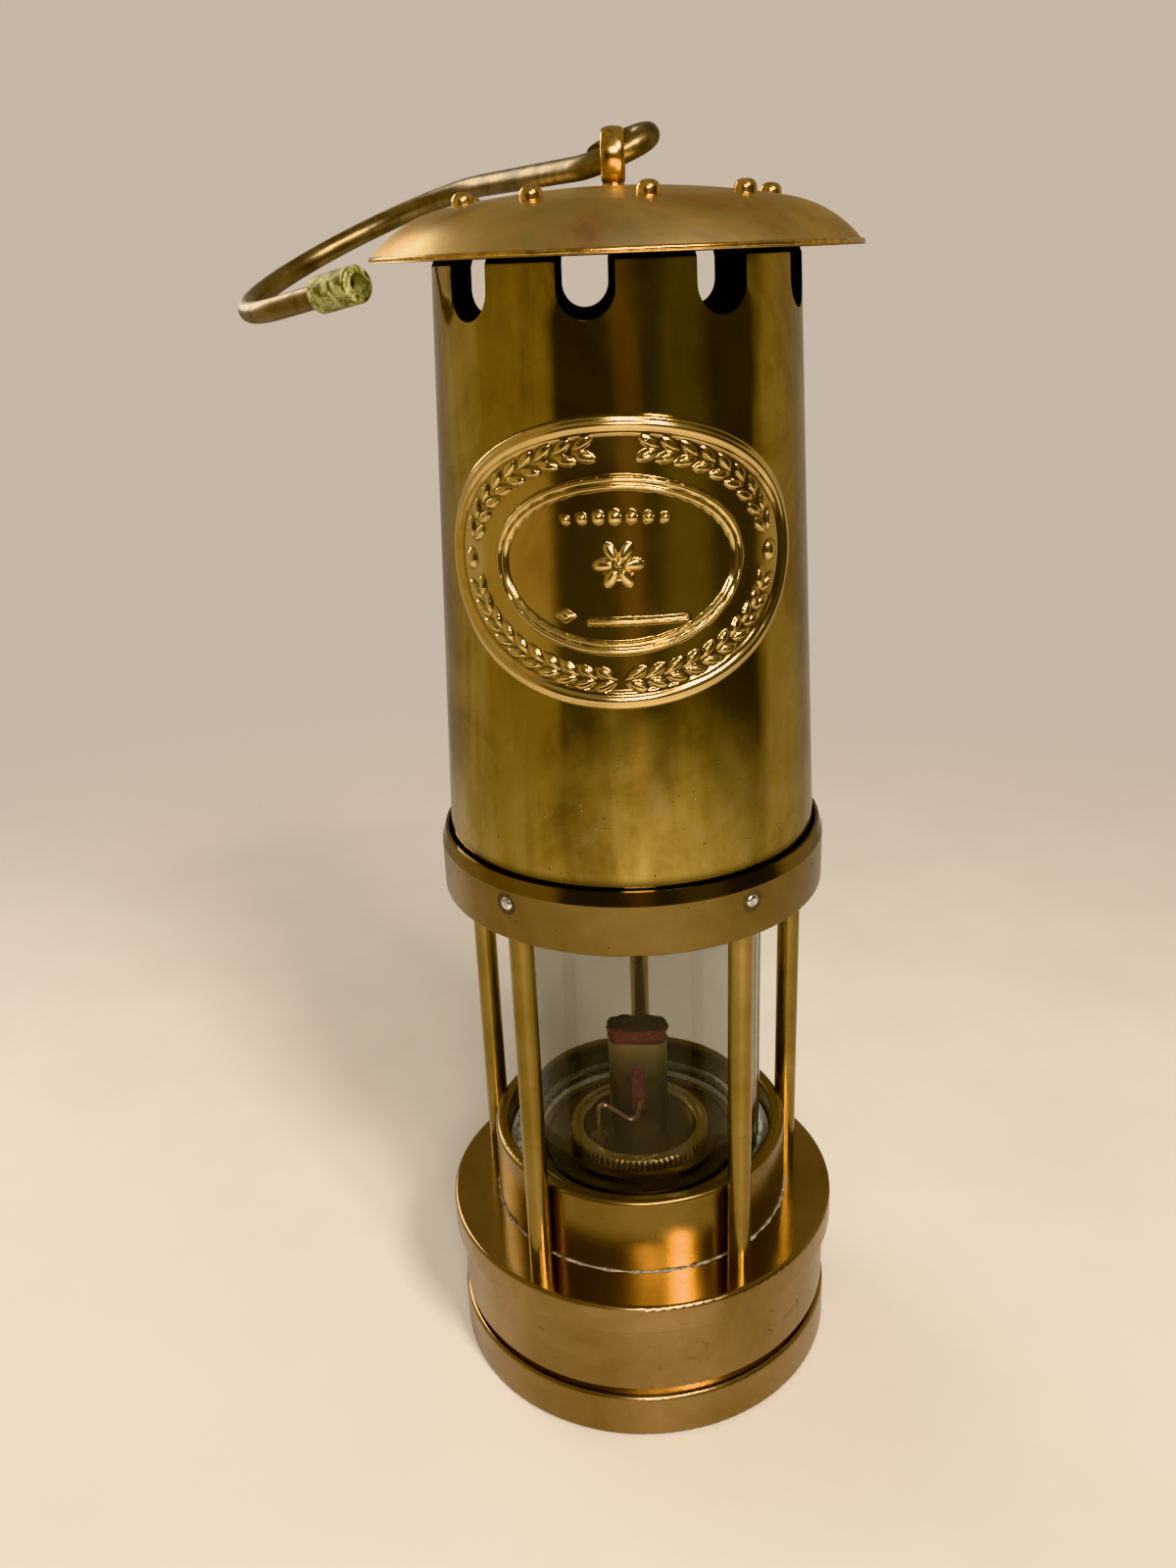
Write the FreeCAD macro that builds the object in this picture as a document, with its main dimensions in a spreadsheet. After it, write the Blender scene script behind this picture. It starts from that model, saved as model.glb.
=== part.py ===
"""A miner's flame safety lamp: oil vessel, pillared glass frame, bonnet, swivel and carrying hook.

+Z is up and the origin is on the lamp's axis, at the level of the surface that it stands on.
The oval badge faces -Y. Sizes are in millimetres.
"""

import FreeCAD, Part
import math
import os

import Sketcher

V = FreeCAD.Vector
ORIGIN = V(0, 0, 0)
X_AXIS, Y_AXIS, Z_AXIS = V(1, 0, 0), V(0, 1, 0), V(0, 0, 1)

SIZES = {
    # oil vessel, and what stands in it
    "foot_radius": 44.0,
    "foot_top": 11.0,
    "foot_recess_radius": 39.0,
    "seam_radius": 42.0,
    "seam_top": 12.6,
    "vessel_radius": 39.6,
    "vessel_bore": 36.6,
    "vessel_floor_low": 12.4,
    "vessel_floor_top": 14.4,
    "vessel_top": 33.0,
    "lid_low": 30.6,
    "neck_radius": 22.0,
    "neck_bore": 19.0,
    "neck_top": 48.2,
    "burner_step_radius": 18.6,
    "burner_step_top": 49.4,
    "burner_top": 50.4,
    "burner_bore": 13.2,
    "knurl_radius": 16.8,
    "knurl_top": 53.4,
    "wadding_bore": 13.2,
    "gap_small": 0.3,
    "gap_thin": 0.1,
    "slip": 0.05,
    "press_gap": 0.02,
    "overshoot": 2.0,
    "foot_lower_round": 0.8,
    "foot_upper_round": 1.0,
    "fine_round": 0.3,
    "edge_round": 0.4,
    # wick and pricker
    "wick_tube_width": 13.6,
    "wick_tube_depth": 5.4,
    "wick_tube_wall": 0.6,
    "wick_tube_low": 44.0,
    "wick_tube_top": 75.4,
    "wick_slot_half": 1.5,
    "wick_slot_low": 57.0,
    "wick_slot_height": 12.0,
    "wick_width": 11.8,
    "wick_depth": 3.6,
    "wick_low": 16.0,
    "wick_top": 81.0,
    "pricker_offset": 9.2,
    "pricker_back": 5.0,
    "pricker_wire_radius": 0.65,
    "pricker_tube_radius": 2.0,
    "pricker_tube_bore": 0.9,
    "pricker_rise": 62.0,
    "pricker_dip": 55.5,
    "pricker_tip": 61.5,
    "pricker_reach": 9.6,
    "pricker_lean": 1.2,
    "pricker_bend": 1.4,
    "pricker_tube_top": 52.4,
    "knob_radius": 6.0,
    "knob_low": 2.0,
    "knob_top": 5.2,
    "knob_round": 0.6,
    # base ring and collar
    "ring_bore": 40.0,
    "ring_low": 12.9,
    "ring_radius": 43.5,
    "flange_low": 30.0,
    "flange_radius": 45.1,
    "flange_top": 37.1,
    "flange_under": 33.4,
    "flange_bore": 22.9,
    "flange_round": 0.9,
    "flange_lower_round": 0.6,
    "collar_radius": 34.1,
    "collar_bore": 31.0,
    "collar_top": 55.6,
    "collar_round": 1.1,
    "collar_inner_round": 0.8,
    "ledge_low": 46.2,
    "ledge_top": 49.0,
    # glass, gaskets and pillars
    "gasket_bore": 24.8,
    "gasket_radius": 30.6,
    "glass_radius": 28.2,
    "glass_bore": 25.2,
    "glass_low": 50.2,
    "glass_top": 121.0,
    "glass_round": 0.5,
    "upper_gasket_top": 122.2,
    "pillar_radius": 2.5,
    "pillar_circle": 37.2,
    "pillar_count": 5,
    "pillar_angle": 72.0,
    "first_pillar": 36.0,
    # upper ring
    "crown_low": 119.0,
    "crown_radius": 40.75,
    "crown_inner": 33.0,
    "crown_shelf_low": 122.2,
    "crown_shelf_top": 124.6,
    "crown_shelf_bore": 17.4,
    "crown_bore": 39.3,
    "crown_bevel_low": 129.6,
    "crown_lip_radius": 39.9,
    "crown_top": 132.3,
    "pin_radius": 1.5,
    "pin_height": 126.8,
    "pin_proud": 0.4,
    "pin_length": 1.2,
    "pin_round": 0.9,
    # gauzes
    "gauze_wall": 0.7,
    "gauze_round": 3.0,
    "inner_gauze_radius": 20.0,
    "inner_gauze_top": 208.0,
    "outer_gauze_radius": 23.0,
    "outer_gauze_top": 216.0,
    "gauze_ring_radius": 27.0,
    "gauze_ring_top": 128.0,
    # bonnet
    "tube_low": 124.9,
    "tube_low_radius": 38.95,
    "tube_bend": 243.0,
    "tube_bend_radius": 34.0,
    "tube_wall": 1.0,
    "tab_top": 250.6,
    "tab_radius": 30.4,
    "tab_end": 25.4,
    "tab_end_top": 251.4,
    "tab_inset": 0.5,
    "bend_inset": 0.4,
    "slot_width": 10.0,
    "slot_low": 233.8,
    "slot_count": 9,
    "slot_turn": -7.1,
    "badge_half_width": 31.0,
    "badge_half_height": 25.75,
    "badge_height": 193.4,
    "badge_plate": 0.45,
    "badge_rim": 1.1,
    "rim_width": 2.5,
    "rim_side_width": 2.0,
    "inner_oval_half_width": 21.5,
    "inner_oval_half_height": 15.5,
    "inner_rim_width": 2.0,
    "inner_rim_side_width": 1.75,
    "hood_radius": 45.3,
    "hood_low": 243.9,
    "hood_shoulder_radius": 32.0,
    "hood_shoulder": 252.3,
    "hood_top": 255.3,
    "hood_crown_arc": 172.0,
    "hood_edge_arc": 22.0,
    "hood_wall": 1.2,
    "hood_bore": 43.78,
    "hollow_shoulder_radius": 31.77,
    "hollow_shoulder": 251.12,
    "rivet_circle": 28.5,
    "rivet_radius": 2.0,
    "rivet_shank": 1.2,
    "rivet_low": 249.8,
    "rivet_seat": 252.5,
    "rivet_top": 254.9,
    "rivet_round": 1.5,
    "rivet_overlap": 0.5,
    # swivel
    "stem_radius": 2.2,
    "stem_hole": 2.26,
    "stem_low": 249.0,
    "stem_top": 256.7,
    "nut_radius": 4.4,
    "nut_low": 251.0,
    "nut_top": 253.8,
    "eye_height": 260.3,
    "eye_radius": 4.95,
    "eye_hole": 3.0,
    "eye_width": 4.4,
    "eye_round": 0.9,
    # hook
    "rod_radius": 2.15,
    "loop_radius": 5.2,
    "loop_turn": 245.0,
    "loop_straight": 2.0,
    "neck_bend": 8.0,
    "shank_turn": 60.0,
    "shank_length": 40.5,
    "crook_radius": 28.1,
    "crook_turn": 203.0,
    "tail_length": 17.0,
    "hook_droop": 20.5,
    "hook_roll": 11.8,
    "ferrule_radius": 3.4,
    "ferrule_length": 11.0,
    "ferrule_grip": 5.0,
    "ferrule_round": 0.5,
    "ferrule_slip": 0.04,
    "ferrule_hole": 1.9,
    "ferrule_hole_depth": 4.0,
}

doc = FreeCAD.newDocument("safety_lamp")
sheet = doc.addObject("Spreadsheet::Sheet", "dims")
for row, (name, value) in enumerate(SIZES.items(), start=1):
    sheet.set("A%d" % row, name)
    sheet.set("B%d" % row, str(value))
    sheet.setAlias("B%d" % row, name)
doc.recompute()

nodes = []


def number(formula):
    """The value of a formula: sheet names and plain numbers joined by + and -, with spaces."""
    total, sign = 0.0, 1
    for word in formula.split():
        if word in ("+", "-"):
            sign = 1 if word == "+" else -1
        else:
            total += sign * (SIZES[word] if word in SIZES else float(word))
    return total


def cells(formula):
    """The same formula as an expression on the sheet."""
    return " ".join("dims." + word if word in SIZES else word for word in formula.split())


def new_body(label):
    body = doc.addObject("PartDesign::Body", label)
    body.Label = label
    nodes.append(body)
    return body


def plane(body, role):
    return next(o for o in body.Origin.OriginFeatures if o.Role == role)


def new_sketch(body, name, role):
    sketch = body.newObject("Sketcher::SketchObject", name)
    sketch.AttachmentSupport = [(plane(body, role), "")]
    sketch.MapMode = "FlatFace"
    return sketch


def bind(sketch, constraint, formula):
    index = sketch.addConstraint(constraint)
    sketch.setExpression("Constraints[%d]" % index, cells(formula))


def place_point(sketch, edge, end, across, up):
    """Fixes one end of an edge at (across, up), each a formula."""
    if number(across) == 0:
        sketch.addConstraint(Sketcher.Constraint("PointOnObject", edge, end, -2))
    else:
        bind(sketch, Sketcher.Constraint("DistanceX", -1, 1, edge, end, number(across)), across)
    if number(up) == 0:
        sketch.addConstraint(Sketcher.Constraint("PointOnObject", edge, end, -1))
    else:
        bind(sketch, Sketcher.Constraint("DistanceY", -1, 1, edge, end, number(up)), up)


def outline(sketch, corners):
    """A closed outline through the corners. A corner with a third entry ends an arc of that radius,
    which bulges away from the axis."""
    points = [V(number(c[0]), number(c[1]), 0) for c in corners]
    count = len(corners)
    for i in range(count):
        start, end = points[i - 1], points[i]
        if len(corners[i]) == 3:
            radius = number(corners[i][2])
            chord = end - start
            side = V(-chord.y, chord.x, 0).normalize()
            reach = math.sqrt(radius**2 - (chord.Length / 2) ** 2)
            centre = (start + end) / 2 + side * reach
            middle = centre - side * radius
            sketch.addGeometry(Part.Arc(start, middle, end), False)
        else:
            sketch.addGeometry(Part.LineSegment(start, end), False)
    for i in range(count):
        following = (i + 1) % count
        end_now = 1 if is_reversed(sketch, i, points[i]) else 2
        start_next = 2 if is_reversed(sketch, following, points[following]) else 1
        sketch.addConstraint(Sketcher.Constraint("Coincident", i, end_now, following, start_next))
        place_point(sketch, i, end_now, corners[i][0], corners[i][1])
        if len(corners[i]) == 3:
            bind(sketch, Sketcher.Constraint("Radius", i, number(corners[i][2])), corners[i][2])


def is_reversed(sketch, edge, end):
    """True where the edge's own end point is not the outline's end point, as on some arcs."""
    return sketch.Geometry[edge].EndPoint.distanceToPoint(end) > 1e-6


def turned(label, corners):
    """A body turned about the lamp's axis from the outline (radius, height) of one side."""
    body = new_body(label)
    sketch = new_sketch(body, label + "_outline", "XZ_Plane")
    outline(sketch, corners)
    turn = body.newObject("PartDesign::Revolution", label + "_turn")
    turn.Profile = sketch
    turn.ReferenceAxis = (sketch, ["V_Axis"])
    turn.Angle = 360
    doc.recompute()
    return body


def ring(label, inner, outer, low, top):
    return turned(label, [(inner, low), (outer, low), (outer, top), (inner, top)])


def round_edges(body, name, radius, chosen):
    """Rounds the body's edges that the chosen function accepts."""
    feature = body.Tip
    edges = ["Edge%d" % (i + 1) for i, e in enumerate(feature.Shape.Edges) if chosen(e)]
    fillet = body.newObject("PartDesign::Fillet", name)
    fillet.Base = (feature, edges)
    fillet.setExpression("Radius", cells(radius))
    doc.recompute()


def circle_at(radius, height):
    """Accepts the full circles of one radius at one height on the axis."""

    def chosen(edge):
        curve = edge.Curve
        if curve.TypeId != "Part::GeomCircle":
            return False
        same_radius = abs(curve.Radius - number(radius)) < 1e-4
        return same_radius and abs(curve.Center.z - number(height)) < 1e-4

    return chosen


def drill(body, name, across, along, radius):
    """A round hole through the whole body, along Z."""
    before = body.Shape.Volume
    sketch = new_sketch(body, name, "XY_Plane")
    sketch.addGeometry(Part.Circle(V(number(across), number(along), 0), Z_AXIS, number(radius)), False)
    bind(sketch, Sketcher.Constraint("Radius", 0, number(radius)), radius)
    place_point(sketch, 0, 3, across, along)
    pocket = body.newObject("PartDesign::Pocket", name + "_cut")
    pocket.Profile = sketch
    pocket.Type = "ThroughAll"
    pocket.Midplane = True
    doc.recompute()
    if body.Shape.Volume >= before - 1e-6:
        raise ValueError(name + " cuts nothing")


def ring_pattern(body, feature, count):
    pattern = body.newObject("PartDesign::PolarPattern", feature.Name + "_round")
    pattern.Originals = [feature]
    pattern.Axis = (next(o for o in body.Origin.OriginFeatures if o.Role == "Z_Axis"), [""])
    pattern.Angle = 360
    pattern.Occurrences = count
    body.Tip = pattern
    doc.recompute()


def build_vessel():
    turned(
        "oil_vessel",
        [
            ("foot_recess_radius", "0"),
            ("foot_radius", "0"),
            ("foot_radius", "foot_top"),
            ("seam_radius", "foot_top"),
            ("seam_radius", "seam_top"),
            ("vessel_radius", "seam_top"),
            ("vessel_radius", "vessel_top"),
            ("vessel_bore", "vessel_top"),
            ("vessel_bore", "vessel_floor_top"),
            ("0", "vessel_floor_top"),
            ("0", "vessel_floor_low"),
            ("foot_recess_radius", "vessel_floor_low"),
        ],
    )
    vessel = nodes[-1]
    round_edges(vessel, "foot_lower_edge", "foot_lower_round", circle_at("foot_radius", "0"))
    round_edges(vessel, "foot_upper_edge", "foot_upper_round", circle_at("foot_radius", "foot_top"))
    drill(vessel, "floor_hole", "0 - pricker_offset", "0 - pricker_back", "pricker_tube_radius + slip")

    turned(
        "vessel_lid",
        [
            ("burner_bore", "lid_low"),
            ("vessel_bore - slip", "lid_low"),
            ("vessel_bore - slip", "vessel_top"),
            ("neck_radius", "vessel_top"),
            ("neck_radius", "neck_top"),
            ("neck_bore", "neck_top"),
            ("neck_bore", "vessel_top"),
            ("burner_bore", "vessel_top"),
        ],
    )
    ring("fuel_wadding", "wadding_bore", "vessel_bore - gap_small",
         "vessel_floor_top + gap_thin", "lid_low - gap_thin")

    turned(
        "burner_plate",
        [
            ("0", "neck_top"),
            ("neck_radius", "neck_top"),
            ("neck_radius", "burner_step_top"),
            ("burner_step_radius", "burner_step_top"),
            ("burner_step_radius", "burner_top"),
            ("0", "burner_top"),
        ],
    )
    plate = nodes[-1]
    round_edges(plate, "burner_plate_edge", "fine_round", circle_at("neck_radius", "burner_step_top"))
    drill(plate, "pricker_hole", "0 - pricker_offset", "0 - pricker_back", "pricker_tube_radius + slip")
    cut_flat_hole(plate, "wick_hole", "wick_tube_width + gap_thin", "wick_tube_depth + gap_thin")

    ring("burner_ring", "burner_bore", "knurl_radius", "burner_top", "knurl_top")
    round_edges(nodes[-1], "burner_ring_edge", "fine_round", circle_at("knurl_radius", "knurl_top"))


def cut_flat_hole(body, name, width, depth):
    """A straight-through hole, as wide and deep as given, with half-round ends."""
    sketch = new_sketch(body, name, "XY_Plane")
    flat_oval(sketch, width, depth)
    pocket = body.newObject("PartDesign::Pocket", name + "_cut")
    pocket.Profile = sketch
    pocket.Type = "ThroughAll"
    pocket.Midplane = True
    doc.recompute()


def flat_oval(sketch, width, depth):
    """An oval of two straight sides and two half-round ends, centred on the axis."""
    radius = number(depth) / 2
    reach = number(width) / 2 - radius
    first = len(sketch.Geometry)
    right, left = V(reach, 0, 0), V(-reach, 0, 0)
    up = V(0, radius, 0)
    sketch.addGeometry(Part.LineSegment(right - up, left - up), False)
    sketch.addGeometry(Part.Arc(left - up, left - V(radius, 0, 0), left + up), False)
    sketch.addGeometry(Part.LineSegment(left + up, right + up), False)
    sketch.addGeometry(Part.Arc(right + up, right + V(radius, 0, 0), right - up), False)
    for edge in (first + 1, first + 3):
        index = sketch.addConstraint(Sketcher.Constraint("Radius", edge, radius))
        sketch.setExpression("Constraints[%d]" % index, "(%s) / 2" % cells(depth))
        sketch.addConstraint(Sketcher.Constraint("PointOnObject", edge, 3, -1))
    for edge, sign in ((first + 1, "-"), (first + 3, "")):
        value = -reach if sign else reach
        index = sketch.addConstraint(Sketcher.Constraint("DistanceX", -1, 1, edge, 3, value))
        formula = "%s((%s) - (%s)) / 2" % (sign, cells(width), cells(depth))
        sketch.setExpression("Constraints[%d]" % index, formula)


def pad_from(sketch, body, name, height):
    pad = body.newObject("PartDesign::Pad", name)
    pad.Profile = sketch
    pad.setExpression("Length", cells(height))
    doc.recompute()


def lifted_sketch(body, name, height):
    """A sketch parallel to the ground at a height."""
    sketch = new_sketch(body, name, "XY_Plane")
    sketch.setExpression("AttachmentOffset.Base.z", cells(height))
    return sketch


def build_wick_tube():
    body = new_body("wick_tube")
    outer = lifted_sketch(body, "wick_tube_section", "wick_tube_low")
    flat_oval(outer, "wick_tube_width", "wick_tube_depth")
    flat_oval(outer, "wick_tube_width - wick_tube_wall - wick_tube_wall",
              "wick_tube_depth - wick_tube_wall - wick_tube_wall")
    pad_from(outer, body, "wick_tube_wall_pad", "wick_tube_top - wick_tube_low")
    slot = new_sketch(body, "wick_slot", "XZ_Plane")
    low, top = "wick_slot_low", "wick_slot_low + wick_slot_height"
    left, right = "0 - wick_slot_half", "wick_slot_half"
    outline(slot, [(left, low), (right, low), (right, top), (left, top)])
    cut = body.newObject("PartDesign::Pocket", "wick_slot_cut")
    cut.Profile = slot
    cut.Type = "Length"
    cut.Length = number("wick_tube_depth")
    cut.Reversed = True
    doc.recompute()
    corners = [v for v in body.Shape.Vertexes if number("wick_tube_low") < v.Z < number("wick_tube_top")]
    if not corners or max(v.Y for v in corners) > 0:
        raise ValueError("the wick slot isn't in the front wall alone")


def build_wick():
    body = new_body("wick")
    sketch = lifted_sketch(body, "wick_section", "wick_low")
    flat_oval(sketch, "wick_width", "wick_depth")
    pad_from(sketch, body, "wick_pad", "wick_top - wick_low")


def build_pricker():
    x, y = -number("pricker_offset"), -number("pricker_back")
    tube = doc.addObject("Part::Cut", "pricker_tube")
    walls = []
    for name, radius in (("tube_outside", "pricker_tube_radius"), ("tube_bore", "pricker_tube_bore")):
        wall = doc.addObject("Part::Cylinder", name)
        wall.setExpression("Radius", cells(radius))
        wall.setExpression("Height", cells("pricker_tube_top - vessel_floor_low"))
        wall.Placement.Base = V(x, y, number("vessel_floor_low"))
        walls.append(wall)
    tube.Base, tube.Tool = walls
    tube.Label = "pricker_tube"
    nodes.append(tube)

    knob = doc.addObject("Part::Cylinder", "knob_disc")
    knob.setExpression("Radius", cells("knob_radius"))
    knob.setExpression("Height", cells("knob_top - knob_low"))
    knob.Placement.Base = V(x, y, number("knob_low"))
    doc.recompute()
    rounded = doc.addObject("Part::Fillet", "pricker_knob")
    rounded.Base = knob
    size = number("knob_round")
    rounded.Edges = [(i + 1, size, size) for i, e in enumerate(knob.Shape.Edges) if len(e.Vertexes) == 1]
    rounded.Label = "pricker_knob"
    nodes.append(rounded)

    route = [
        (0, number("knob_top")),
        (0, number("pricker_rise")),
        (number("pricker_reach - pricker_lean"), number("pricker_dip")),
        (number("pricker_reach"), number("pricker_tip")),
    ]
    body = new_body("pricker_wire")
    path = new_sketch(body, "pricker_path", "XZ_Plane")
    runs_and_arcs(path, route, number("pricker_bend"))
    section = new_sketch(body, "pricker_section", "XY_Plane")
    section.AttachmentOffset.Base = V(0, 0, number("knob_top"))
    section.addGeometry(Part.Circle(ORIGIN, Z_AXIS, number("pricker_wire_radius")), False)
    bind(section, Sketcher.Constraint("Radius", 0, number("pricker_wire_radius")), "pricker_wire_radius")
    section.addConstraint(Sketcher.Constraint("Coincident", 0, 3, -1, 1))
    sweep(body, "pricker_sweep", section, path)
    body.Placement.Base = V(x, y, 0)


def runs_and_arcs(sketch, route, radius):
    """Straight runs through the points of a route, joined by tangent arcs."""
    points = [V(a, b, 0) for a, b in route]
    start = points[0]
    for before, corner, after in zip(points, points[1:], points[2:]):
        back, ahead = (before - corner).normalize(), (after - corner).normalize()
        half = back.getAngle(ahead) / 2
        trim = radius / math.tan(half)
        arc_start, arc_end = corner + back * trim, corner + ahead * trim
        centre = corner + (back + ahead).normalize() * (radius / math.sin(half))
        middle = centre + (corner - centre).normalize() * radius
        sketch.addGeometry(Part.LineSegment(start, arc_start), False)
        sketch.addGeometry(Part.Arc(arc_start, middle, arc_end), False)
        start = arc_end
    sketch.addGeometry(Part.LineSegment(start, points[-1]), False)


def sweep(body, name, section, path):
    pipe = body.newObject("PartDesign::AdditivePipe", name)
    pipe.Profile = section
    pipe.Spine = path
    pipe.Transition = "Transformed"
    doc.recompute()


def build_frame():
    turned(
        "base_ring",
        [
            ("ring_bore", "ring_low"),
            ("ring_radius", "ring_low"),
            ("ring_radius", "flange_low"),
            ("flange_radius", "flange_low"),
            ("flange_radius", "flange_top"),
            ("flange_bore", "flange_top"),
            ("flange_bore", "flange_under"),
            ("ring_bore", "flange_under"),
        ],
    )
    base = nodes[-1]
    round_edges(base, "flange_upper_edge", "flange_round", circle_at("flange_radius", "flange_top"))
    round_edges(base, "flange_lower_edge", "flange_lower_round", circle_at("flange_radius", "flange_low"))
    round_edges(base, "ring_lower_edge", "edge_round", circle_at("ring_radius", "ring_low"))

    turned(
        "glass_collar",
        [
            ("collar_bore", "flange_top"),
            ("collar_radius", "flange_top"),
            ("collar_radius", "collar_top"),
            ("collar_bore", "collar_top"),
            ("collar_bore", "ledge_top"),
            ("flange_bore + gap_thin", "ledge_top"),
            ("flange_bore + gap_thin", "ledge_low"),
            ("collar_bore", "ledge_low"),
        ],
    )
    collar = nodes[-1]
    round_edges(collar, "collar_outer_lip", "collar_round", circle_at("collar_radius", "collar_top"))
    round_edges(collar, "collar_inner_lip", "collar_inner_round", circle_at("collar_bore", "collar_top"))

    ring("lower_gasket", "gasket_bore", "gasket_radius", "ledge_top", "glass_low")
    ring("lamp_glass", "glass_bore", "glass_radius", "glass_low", "glass_top")
    glass = nodes[-1]
    round_edges(glass, "glass_lower_edge", "glass_round", circle_at("glass_radius", "glass_low"))
    round_edges(glass, "glass_upper_edge", "glass_round", circle_at("glass_radius", "glass_top"))
    ring("upper_gasket", "gasket_bore", "gasket_radius", "glass_top", "upper_gasket_top")
    turned(
        "upper_ring",
        [
            ("crown_inner", "crown_low"),
            ("crown_radius", "crown_low"),
            ("crown_radius", "crown_bevel_low"),
            ("crown_lip_radius", "crown_top"),
            ("crown_bore", "crown_top"),
            ("crown_bore", "crown_shelf_top"),
            ("crown_shelf_bore", "crown_shelf_top"),
            ("crown_shelf_bore", "crown_shelf_low"),
            ("crown_inner", "crown_shelf_low"),
        ],
    )
    round_edges(nodes[-1], "upper_ring_edge", "edge_round", circle_at("crown_radius", "crown_low"))
    build_pillars()
    build_ring_pins()
    build_gauzes()


def azimuth(degrees, radius, height):
    """A point at an angle about the axis, from -Y towards +X."""
    turn = math.radians(degrees)
    return V(radius * math.sin(turn), -radius * math.cos(turn), height)


def build_pillars():
    for index in range(int(number("pillar_count"))):
        angle = number("first_pillar") + index * number("pillar_angle")
        place = azimuth(angle, number("pillar_circle"), number("flange_top"))
        pillar = doc.addObject("Part::Cylinder", "pillar_%d" % (index + 1))
        pillar.Label = pillar.Name
        pillar.setExpression("Radius", cells("pillar_radius"))
        pillar.setExpression("Height", cells("crown_low - flange_top"))
        pillar.Placement.Base = place
        nodes.append(pillar)


def build_ring_pins():
    """Five steel pins that hold the pillars' tops in the upper ring, with domed heads."""
    pieces = []
    for index in range(int(number("pillar_count"))):
        angle = number("first_pillar") + index * number("pillar_angle")
        start = number("crown_radius + pin_proud - pin_length")
        pin = doc.addObject("Part::Cylinder", "pin_shank_%d" % index)
        pin.setExpression("Radius", cells("pin_radius"))
        pin.setExpression("Height", cells("pin_length"))
        outward = azimuth(angle, 1, 0)
        pin.Placement = FreeCAD.Placement(
            azimuth(angle, start, number("pin_height")), FreeCAD.Rotation(Z_AXIS, outward)
        )
        doc.recompute()
        head = doc.addObject("Part::Fillet", "pin_%d" % index)
        head.Base = pin
        rims = [e for e in pin.Shape.Edges if len(e.Vertexes) == 1]
        far = max(rims, key=lambda e: e.CenterOfMass.dot(outward))
        chosen = [i + 1 for i, e in enumerate(pin.Shape.Edges) if e.isSame(far)]
        head.Edges = [(i, number("pin_round"), number("pin_round")) for i in chosen]
        pieces.append(head)
    doc.recompute()
    group = doc.addObject("Part::Compound", "ring_pins")
    group.Links = pieces
    group.Label = "ring_pins"
    nodes.append(group)


def build_gauzes():
    for label, radius, top in (
        ("inner_gauze", "inner_gauze_radius", "inner_gauze_top"),
        ("outer_gauze", "outer_gauze_radius", "outer_gauze_top"),
    ):
        turned(
            label,
            [
                (radius + " - gauze_wall", "crown_shelf_top"),
                (radius, "crown_shelf_top"),
                (radius, top),
                ("0", top),
                ("0", top + " - gauze_wall"),
                (radius + " - gauze_wall", top + " - gauze_wall"),
            ],
        )
        round_edges(nodes[-1], label + "_shoulder", "gauze_round", circle_at(radius, top))
    ring("gauze_ring", "outer_gauze_radius + gap_thin", "gauze_ring_radius",
         "crown_shelf_top", "gauze_ring_top")


def build_bonnet():
    turned(
        "bonnet_tube",
        [
            ("tube_low_radius - tube_wall", "tube_low"),
            ("tube_low_radius", "tube_low"),
            ("tube_bend_radius", "tube_bend"),
            ("tab_radius", "tab_top"),
            ("tab_end", "tab_end_top"),
            ("tab_end", "tab_end_top - tube_wall"),
            ("tab_radius - tab_inset", "tab_top - tube_wall"),
            ("tube_bend_radius - tube_wall", "tube_bend - bend_inset"),
        ],
    )
    tube = nodes[-1]
    sketch = new_sketch(tube, "vent_slot", "XZ_Plane")
    half = number("slot_width") / 2
    centre = V(0, number("slot_low") + half, 0)
    top = V(0, number("hood_top + slot_width"), 0)
    side = V(half, 0, 0)
    sketch.addGeometry(Part.Arc(centre - side, centre - V(0, half, 0), centre + side), False)
    sketch.addGeometry(Part.LineSegment(centre + side, top + side), False)
    sketch.addGeometry(Part.LineSegment(top + side, top - side), False)
    sketch.addGeometry(Part.LineSegment(top - side, centre - side), False)
    index = sketch.addConstraint(Sketcher.Constraint("Radius", 0, half))
    sketch.setExpression("Constraints[%d]" % index, "dims.slot_width / 2")
    sketch.addConstraint(Sketcher.Constraint("PointOnObject", 0, 3, -2))
    index = sketch.addConstraint(Sketcher.Constraint("DistanceY", -1, 1, 0, 3, centre.y))
    sketch.setExpression("Constraints[%d]" % index, "dims.slot_low + dims.slot_width / 2")
    cut = tube.newObject("PartDesign::Pocket", "vent_slot_cut")
    cut.Profile = sketch
    cut.Type = "Length"
    cut.Length = 2 * number("tube_low_radius")
    cut.Reversed = True
    doc.recompute()
    wall = V(0, number("tube_wall") / 2 - tube_radius(centre.y), centre.y)
    if cut.Shape.isInside(wall, 1e-4, True):
        raise ValueError("the vent slot isn't in the front wall")
    ring_pattern(tube, cut, int(number("slot_count")))
    tube.Placement.Rotation = FreeCAD.Rotation(Z_AXIS, number("slot_turn"))

    build_badge()
    build_hood()
    build_rivets()


def tube_radius(height):
    """Outside radius of the bonnet tube at a height."""
    share = (height - number("tube_low")) / number("tube_bend - tube_low")
    return number("tube_low_radius") + share * number("tube_bend_radius - tube_low_radius")


def oval_prism(half_width, half_height):
    """A solid oval bar along -Y, through the badge's centre."""
    centre = V(0, 0, number("badge_height"))
    curve = Part.Ellipse(centre + V(half_width, 0, 0), centre + V(0, 0, half_height), centre)
    face = Part.Face(Part.Wire([curve.toShape()]))
    return face.extrude(V(0, -2 * number("tube_low_radius"), 0))


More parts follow.
